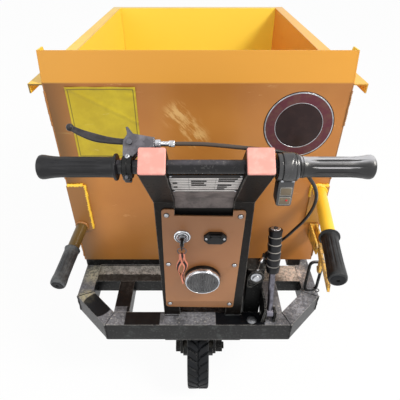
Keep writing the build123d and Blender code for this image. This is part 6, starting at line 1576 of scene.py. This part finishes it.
hopper_welds = Shape(sunlit_bead_paint)
for side, bead_foot in ((-1, 501.0), (1, 606.0)):
    inner, outer = side * PLATE_IN, side * (PLATE_OUT - 2)
    weld(hopper_welds, (outer, PLATE_SEAM, PLATE_TOP), (inner, PLATE_SEAM, PLATE_TOP + 1), 4.2)
    weld(hopper_welds, (inner, PLATE_SEAM, PLATE_TOP), (inner, PLATE_SEAM, bead_foot), 3.8)
for foot, length, angles, lip in HANDLE_FEET:
    way = handle_direction(*angles)
    across = way.orthogonal().normalized()
    over = way.cross(across)
    around = [drawn(*foot) + MM * 15.6 * (across * math.cos(turn) + over * math.sin(turn))
              for turn in turns(24) + [math.tau]]
    # The left handle's ring bead gets the painted shade, the right one the painted sunlight.
    hopper_welds.wear(shaded_bead_paint if foot[0] < 0 else sunlit_bead_paint)
    hopper_welds.bead(around, 3.0)
for side in (-1, 1):
    inner, outer = side * INNER_SEAM, side * OUTER_SEAM
    # The outer seams of the rear wall get painted shade.
    hopper_welds.wear(shaded_bead_paint)
    for low, high in ((400, 470), (660, 720), (800, 880)):
        weld(hopper_welds, (outer, WALL_SEAM, low), (outer, WALL_SEAM, high), 2.2)
    hopper_welds.wear(hopper_paint)
    for near, far in ((240, 330), (520, 610), (800, 870)):
        weld(hopper_welds, (inner, near, FLOOR_SEAM), (inner, far, FLOOR_SEAM), 3.0)
    weld(hopper_welds, (inner, FRONT_SEAM, 700), (inner, FRONT_SEAM, 880), 2.6)
    weld(hopper_welds, (inner, REAR_SEAM, 560), (inner, REAR_SEAM, 880), 2.6)
hopper_welds.piece("hopper_welds", "hopper", crease=60.0)

CORNER_X, RAIL_X, RAIL_IN, BRACE_Y = 235.0, 327.0, 287.0, 92.0
TUBE_FOOT = 292.0
CROSSBAR_REAR, CROSSBAR_FRONT = 147.0, 205.0
POST_SPREAD, POST_HALF = 78.0, 20.0             # from the column's middle to each post, and half a post
POST_REAR, POST_FRONT = 31.0, 53.5
HOOP_FEET = (287.0, 327.0)
frame_welds = Shape(frame_paint)
for side in (-1, 1):
    brace_seams = (((CORNER_X, 0.5), (218.4, 40)), ((RAIL_X - 0.5, BRACE_Y), (RAIL_IN, 108.5)))
    for (x, y), (inner, front) in brace_seams:
        weld(frame_welds, (side * x, y, FRAME_TOP), (side * inner, front, FRAME_TOP), 2.4)
        weld(frame_welds, (side * x, y, FRAME_TOP), (side * x, y, TUBE_FOOT), 2.4)
    left, right = (COLUMN_X + side * POST_SPREAD + end for end in (-POST_HALF, POST_HALF))
    weld(frame_welds, (left + 1, POST_FRONT, FRAME_TOP), (left + 1, POST_REAR, FRAME_TOP), 2.6)
    weld(frame_welds, (left, POST_REAR, FRAME_TOP), (right, POST_REAR, FRAME_TOP), 2.6)
    weld(frame_welds, (right, POST_REAR, FRAME_TOP), (right - 1, POST_FRONT, FRAME_TOP), 2.6)
    rail_seam = [(side * RAIL_IN, along, FRAME_TOP - 1) for along in (CROSSBAR_REAR, CROSSBAR_FRONT - 2)]
    weld(frame_welds, *rail_seam, 2.4)
for across in HOOP_FEET:
    around = [drawn(across + 5 * math.cos(turn), 112 + 5 * math.sin(turn), FRAME_TOP + 0.5)
              for turn in turns(12) + [math.tau]]
    frame_welds.bead(around, 1.8)
# A thin black strip in the gap under the hopper, as painted shade.
gap_shade_strip = box_outline(-RAIL_IN, 218, FRAME_TOP - 12, FRAME_TOP + 3)
frame_welds.slab(gap_shade_strip, (drawn(0, CROSSBAR_FRONT, 0), ACROSS, UPRIGHT), -1.9, -0.1)
frame_welds.piece("frame_welds", "chassis", crease=60.0)

# %% [markdown]
# Two blank plates sit on the rear wall, as carriers for whatever a workshop wants to put there: a plain
# yellow sheet with a thin dark border, and a plain dark disc in a bright ring. Both are thin, with lifted or
# rolled edges, and are worn like the wall around them.

# %% Blank sheet and disc
sheet = Finish("sheet_yellow", tone(214, 178, 30), 0.4)
sun_fade = sheet.stains(60.0, 0.35, 0.7, detail=5.0, rough=0.6)
sheet_colour = sheet.mixed(sun_fade, tone(186, 160, 14), tone(206, 182, 34))
sheet_scuff = sheet.patches(sheet.blotches(14.0, 7.0, 0.72, (0.4, 1.0, 1.4)), 0.6, 0.7)
sheet_colour = sheet.laid(sheet_scuff, 0.4, sheet_colour, tone(226, 212, 130))
SHEET_LEFT, SHEET_RIGHT, SHEET_LOW, SHEET_HIGH = -280.0, -131.5, 719.0, 888.0
within = []
for inset in (4.5, 6.1):
    within.append(sheet.both(sheet.between("X", SHEET_LEFT + inset, SHEET_RIGHT - inset),
                             sheet.between("Z", SHEET_LOW + inset, SHEET_HIGH - inset)))
border = sheet.reckon("SUBTRACT", *within)
sheet_colour = sheet.laid(border, 0.9, sheet_colour, tone(70, 56, 20))
sheet.feed("Base Color", sheet_colour)
sheet.feed("Roughness", sheet.scaled(sun_fade, 0.3, 0.5))
sheet.bump(sheet.blotches(40.0, 3.0), depth=0.6, strength=0.3)
sheet_finish = sheet.done()
disc_dark = plastic("disc_dark", tone(40, 24, 24), tone(58, 40, 38), 0.3, gloss=0.25)
disc_ring = plastic("disc_ring", tone(92, 44, 54), tone(104, 78, 62), 0.3, gloss=0.25)
SHEET_ROWS = 48
DISC_PLACE = (224.0, 800.0)
DISC_R = 78.0


def lifted(across, up):
    """How far the sheet stands off the wall: creased, curled at the top and crumpled at one corner."""
    curl = 2.4 * math.exp(-((SHEET_HIGH - up) / 7.0) ** 2) * (0.5 + 0.5 * math.sin(across / 9.0))
    corner = math.hypot(SHEET_RIGHT - across, SHEET_HIGH - up)
    crumple = 3.2 * math.exp(-corner / 20.0) * abs(math.sin(corner / 5.0 + across / 11.0))
    slant = (across - SHEET_LEFT) * 0.55 + (up - SHEET_HIGH)
    crease = 1.3 * math.exp(-(slant / 3.0) ** 2) + 0.9 * math.exp(-((slant + 96.0) / 3.5) ** 2)
    return 0.5 + curl + crumple + crease


blank_sheet = Shape(sheet_finish)
sheet_rows = []
for up in evenly(SHEET_LOW, SHEET_HIGH, SHEET_ROWS):
    front = [drawn(across, WALL_FACE - lifted(across, up), up)
             for across in evenly(SHEET_LEFT, SHEET_RIGHT, SHEET_ROWS)]
    sheet_rows.append(front + [place + FORWARD * 0.4 * MM for place in reversed(front)])
blank_sheet.skin(sheet_rows)
blank_sheet.piece("blank_yellow_sheet", "hopper")

disc_middle = drawn(DISC_PLACE[0], WALL_FACE, DISC_PLACE[1])
blank_disc = Shape(disc_dark)
blank_disc.turned([(-0.4, DISC_R), (0.5, DISC_R), (0.9, DISC_R - 0.8), (0.9, 0.5)], disc_middle, REARWARD, 96)
blank_disc.wear(disc_ring)
field = [(0.6, 74.5), (1.1, 74.5), (1.1, 52.5), (0.6, 52.5)]
blank_disc.tube(field, disc_middle, REARWARD, 96)
blank_disc.wear(zinc)
for inner, outer in ((73.5, 76.2), (52.0, 53.6)):
    bright_ring = [(0.7, outer), (1.3, outer - 0.4), (1.3, inner + 0.4), (0.7, inner)]
    blank_disc.tube(bright_ring, disc_middle, REARWARD, 96)
blank_disc.piece("blank_dark_disc", "hopper")

# %% [markdown]
# Tyres are turned too, with a tread pressed in by a dent that depends on the angle round the wheel. The
# caster's tyre has slanted blocks, and the drive tyres have slanted lugs that meet in the middle. Blocks
# copied round a ring would need joining, and a dent keeps the tyre one closed form.

# %% Tyres
def tyre_rows(inner, outer, width, bead, rows):
    """A tyre's section as a loop of (along, radius), square shouldered, with close rows over the tread."""
    half, height = width / 2, outer - inner
    side = [(bead / 2, inner), (bead / 2, inner + 0.14 * height), (half * 0.94, inner + 0.22 * height),
            (half, inner + 0.32 * height), (half * 1.01, inner + 0.6 * height), (half, inner + 0.84 * height)]
    shoulder = [(half * 0.97, inner + 0.93 * height), (half * 0.9, inner + 0.98 * height)]
    tread = [(half * 0.84 * (1 - 2 * step / rows), outer) for step in range(rows + 1)]
    left = side + shoulder
    return left + tread + [(-along, radius) for along, radius in reversed(left)]


def chevrons(angle, along, radius):
    """Slanted blocks on the caster's tyre, with a zigzag groove between the two halves."""
    if radius < 116.0:
        return radius
    half_turn = 0.5 if along > 0 else 0.0
    share = (angle * 30 / math.tau + abs(along) / 36.0 + half_turn) % 1.0
    swing = 4.0 * (4 * abs((angle * 30 / math.tau) % 1.0 - 0.5) - 1.0)
    away = min(abs(share - 0.5) * 22.0, abs(along - swing) * 1.2)
    return radius - 4.0 * min(1.0, max(0.0, 1.8 - away / 1.6))


def lugs(angle, along, radius):
    """Slanted lugs of a drive tyre, alternating left and right."""
    if radius < 180.0:
        return radius
    share = (angle * 26 / math.tau + abs(along) / 42.0 * 0.55 + (0.5 if along > 0 else 0.0)) % 1.0
    groove = min(1.0, max(0.0, (abs(share - 0.5) - 0.22) / 0.06))
    return radius - 9.0 * groove if abs(along) > 3.0 else radius - 2.0 * groove


CASTER_MIDDLE = (94.0, 120.0)       # along and up
AXLE_MIDDLE = (776.0, 200.0)
DRIVE_TYRE_X = 382.5
caster_tyre = Shape(tyre_rubber)
caster_rows = tyre_rows(inner=75.0, outer=120.0, width=60.0, bead=52.0, rows=24)
caster_tyre.turned(caster_rows, drawn(0, *CASTER_MIDDLE), ACROSS, 360, chevrons, hollow=True)
caster_tyre.piece("caster_tyre_rubber", "caster_wheel", ["caster_tyre"], 40.0)
drive_rows = tyre_rows(inner=106.2, outer=200.0, width=85.0, bead=66.6, rows=16)
for side, hand in ((-1, "left"), (1, "right")):
    tyre = Shape(tyre_rubber)
    tyre.turned(drive_rows, drawn(side * DRIVE_TYRE_X, *AXLE_MIDDLE), ACROSS * side, 260, lugs, hollow=True)
    tyre.piece(hand + "_drive_tyre_rubber", hand + "_wheel", [hand + "_wheel_tyre"], 40.0)

# %% [markdown]
# Each drive wheel is held by five nuts round a pressed hub cap, and has a valve in its rim. The gear case and
# the motor are bolted up in the same way. Bolts on a circle are one head in a loop over its angles, as a
# drill plate would place them.

# %% Wheel nuts, hub caps and bolts
HUB_FACE = 334.0            # the outer face of the wheel disc
NUT_CIRCLE, GEAR_BOLT_CIRCLE, MOTOR_BOLT_CIRCLE = 40.0, 66.0, 40.0
VALVE_STEM = [(-10, 5.4), (0, 5.0), (8, 3.6), (22, 3.4), (22, 4.4), (30, 4.4), (31, 3.6), (31, 0.3)]
MOTOR_MIDDLE = (638.0, 200.0)


def round_circle(across, middle, radius, turn):
    """A place on a circle about a line across the barrow."""
    return drawn(across, middle[0] + radius * math.cos(turn), middle[1] + radius * math.sin(turn))


for side, hand in ((-1, "left"), (1, "right")):
    way = ACROSS * side
    hub = drawn(side * HUB_FACE, *AXLE_MIDDLE)
    fittings = Shape(zinc)
    for turn in turns(5):
        spot = round_circle(side * HUB_FACE, AXLE_MIDDLE, NUT_CIRCLE, turn)
        fittings.turned([(-1, 11.5), (1.6, 11.5), (2.0, 10.8), (2.0, 5)], spot, way, 24)
        fittings.hexagon_head(spot + way * 2 * MM, way, 17.0, 9.0)
        fittings.turned([(8, 5.2), (13, 5.2), (14, 4.2), (14, 0.3)], spot, way, 16)
    fittings.wear(chrome)
    fittings.turned([(-0.5, 26), (4, 26), (10, 24.5), (15, 20), (17.5, 12), (18.2, 0.3)], hub, way, 40)
    fittings.wear(grip_rubber)
    valve = hub + MM * (way * 30 + UPRIGHT * 92)
    fittings.turned(VALVE_STEM, valve, way - UPRIGHT * 0.25, 16)
    fittings.piece(hand + "_wheel_fittings", hand + "_wheel")

drive_bolts = Shape(zinc)
for side in (-1, 1):
    for turn in turns(8, 0.5):
        spot = round_circle(side * 60, AXLE_MIDDLE, GEAR_BOLT_CIRCLE, turn)
        drive_bolts.hexagon_head(spot, ACROSS * side, 13.0, 6.0)
for turn in turns(4, 0.5):
    spot = round_circle(140, MOTOR_MIDDLE, MOTOR_BOLT_CIRCLE, turn)
    drive_bolts.hexagon_head(spot, ACROSS, 10.0, 5.0)
drive_bolts.turned([(139, 16), (142, 16), (146, 13), (146, 0.3)], drawn(0, *MOTOR_MIDDLE), ACROSS, 32)
drive_bolts.piece("drive_bolts", "chassis")

motor_fins = Shape(motor_paint)
for turn in turns(28):
    outward = Vector((0, math.cos(turn), math.sin(turn)))
    base = drawn(-8, *MOTOR_MIDDLE) + outward * 59.0 * MM
    if outward.y < 0.72:            # the gear case leaves no room for fins in front
        motor_fins.slab(box_outline(0, 112, -1.2, 1.2), (base, ACROSS, outward.cross(ACROSS)), -4.5, 0.6)
motor_fins.piece("motor_fins", "chassis")

# %% [markdown]
# The batteries have lids with a raised edge, red and black terminal caps and flat copper links. They sit out
# of the picture's sight under the hopper, so plain turned and cut forms do, and one loop dresses all four.

# %% Battery fittings
cap_red = plastic("terminal_red", tone(176, 36, 34), tone(206, 84, 78), 0.4)
copper = metal("copper", tone(186, 110, 76), tone(140, 80, 56), 0.3, grain=1.5)
BATTERY_TOP = 313.0
BATTERY_LEFTS, BATTERY_REARS = (-152.0, 1.0), (345.0, 446.0)
BATTERY_WIDTH, BATTERY_MIDDLE = 151.0, 49.5
LINK_X, LINK_Y, LINK_HALF = 129.4, 445.5, 58.0
battery = Shape(battery_plastic)
lid_plane = (drawn(0, 0, BATTERY_TOP), ACROSS, FORWARD)
for left in BATTERY_LEFTS:
    for rear in BATTERY_REARS:
        battery.wear(battery_plastic)
        lid = box_outline(left + 3, left + 148, rear + 3, rear + 96, 4.0)
        battery.slab(lid, lid_plane, -1, 2.4, 0.8)
        for index in range(6):
            spot = drawn(left + 36 + 16 * index, rear + BATTERY_MIDDLE, BATTERY_TOP + 2)
            battery.turned([(0, 6), (2.2, 6), (3, 5.2), (3, 0.3)], spot, UPRIGHT, 20)
        for share, finish in ((0.15, cap_red), (0.85, case_plastic)):
            battery.wear(finish)
            spot = drawn(left + BATTERY_WIDTH * share, rear + BATTERY_MIDDLE, BATTERY_TOP + 2)
            battery.turned([(0, 9), (7, 8.6), (9, 7.4), (9, 0.3)], spot, UPRIGHT, 24)
battery.wear(copper)
for side in (-1, 1):
    link_plane = (drawn(side * LINK_X, LINK_Y, BATTERY_TOP + 9), ACROSS, FORWARD)
    battery.slab(box_outline(-7, 7, -LINK_HALF, LINK_HALF, 4.0), link_plane, 1.5, 3.5, 0.4)
battery.piece("battery_fittings", "chassis")

# %% [markdown]
# A torsion spring sits on the latch's pin. It is wound from wire, so a round section is swept along a helix
# that ends in two legs: one down by the lever, one towards the rear wall. A few bolts finish the frame: a
# domed one behind the brake post, and four under the caster's plate.

# %% Latch spring and frame bolts
LATCH_PLACE = (308.0, 121.0, 500.0)
COIL_TURNS, COIL_START, COIL_LENGTH, COIL_R = 4, 11.6, 9.0, 8.2
PIN_HEAD = [(10, 0.3), (10, 5.2), (22, 5.2), (22, 7.6), (24.4, 7.6), (25.4, 6.2), (25.4, 0.3)]
spring = Shape(steel)
coil = [drawn(319.6, 129.2, 474)]
for share in evenly(0, 1, 96):
    turn = math.tau * COIL_TURNS * share
    coil.append(drawn(LATCH_PLACE[0] + COIL_START + COIL_LENGTH * share,
                      LATCH_PLACE[1] + COIL_R * math.cos(turn), LATCH_PLACE[2] + COIL_R * math.sin(turn)))
coil += [drawn(328.6, 145, 509), drawn(327, 188, 512)]
spring.swept(coil, circle(1.5, 8), ACROSS)
spring.turned(PIN_HEAD, drawn(*LATCH_PLACE), ACROSS, 24)
spring.piece("latch_spring", "hopper")

frame_bolts = Shape(cast_metal)
frame_bolts.turned([(-0.5, 12), (1.6, 12), (2.2, 11.2), (3.4, 10.6), (5.6, 8.4), (6.8, 5), (7.2, 0.3)],
                   drawn(136, 15, FRAME_TOP), UPRIGHT, 32)
frame_bolts.wear(zinc)
for across in (-70.0, 94.0):
    for along in (24.0, 160.0):
        frame_bolts.hexagon_head(drawn(across, along, 282), -UPRIGHT, 17.0, 8.0)
frame_bolts.piece("frame_bolts", "chassis")
print("barrow dressed")

# %% [markdown]
# The last step brings the scene up to date.

# %% Update the scene
bpy.context.view_layer.update()
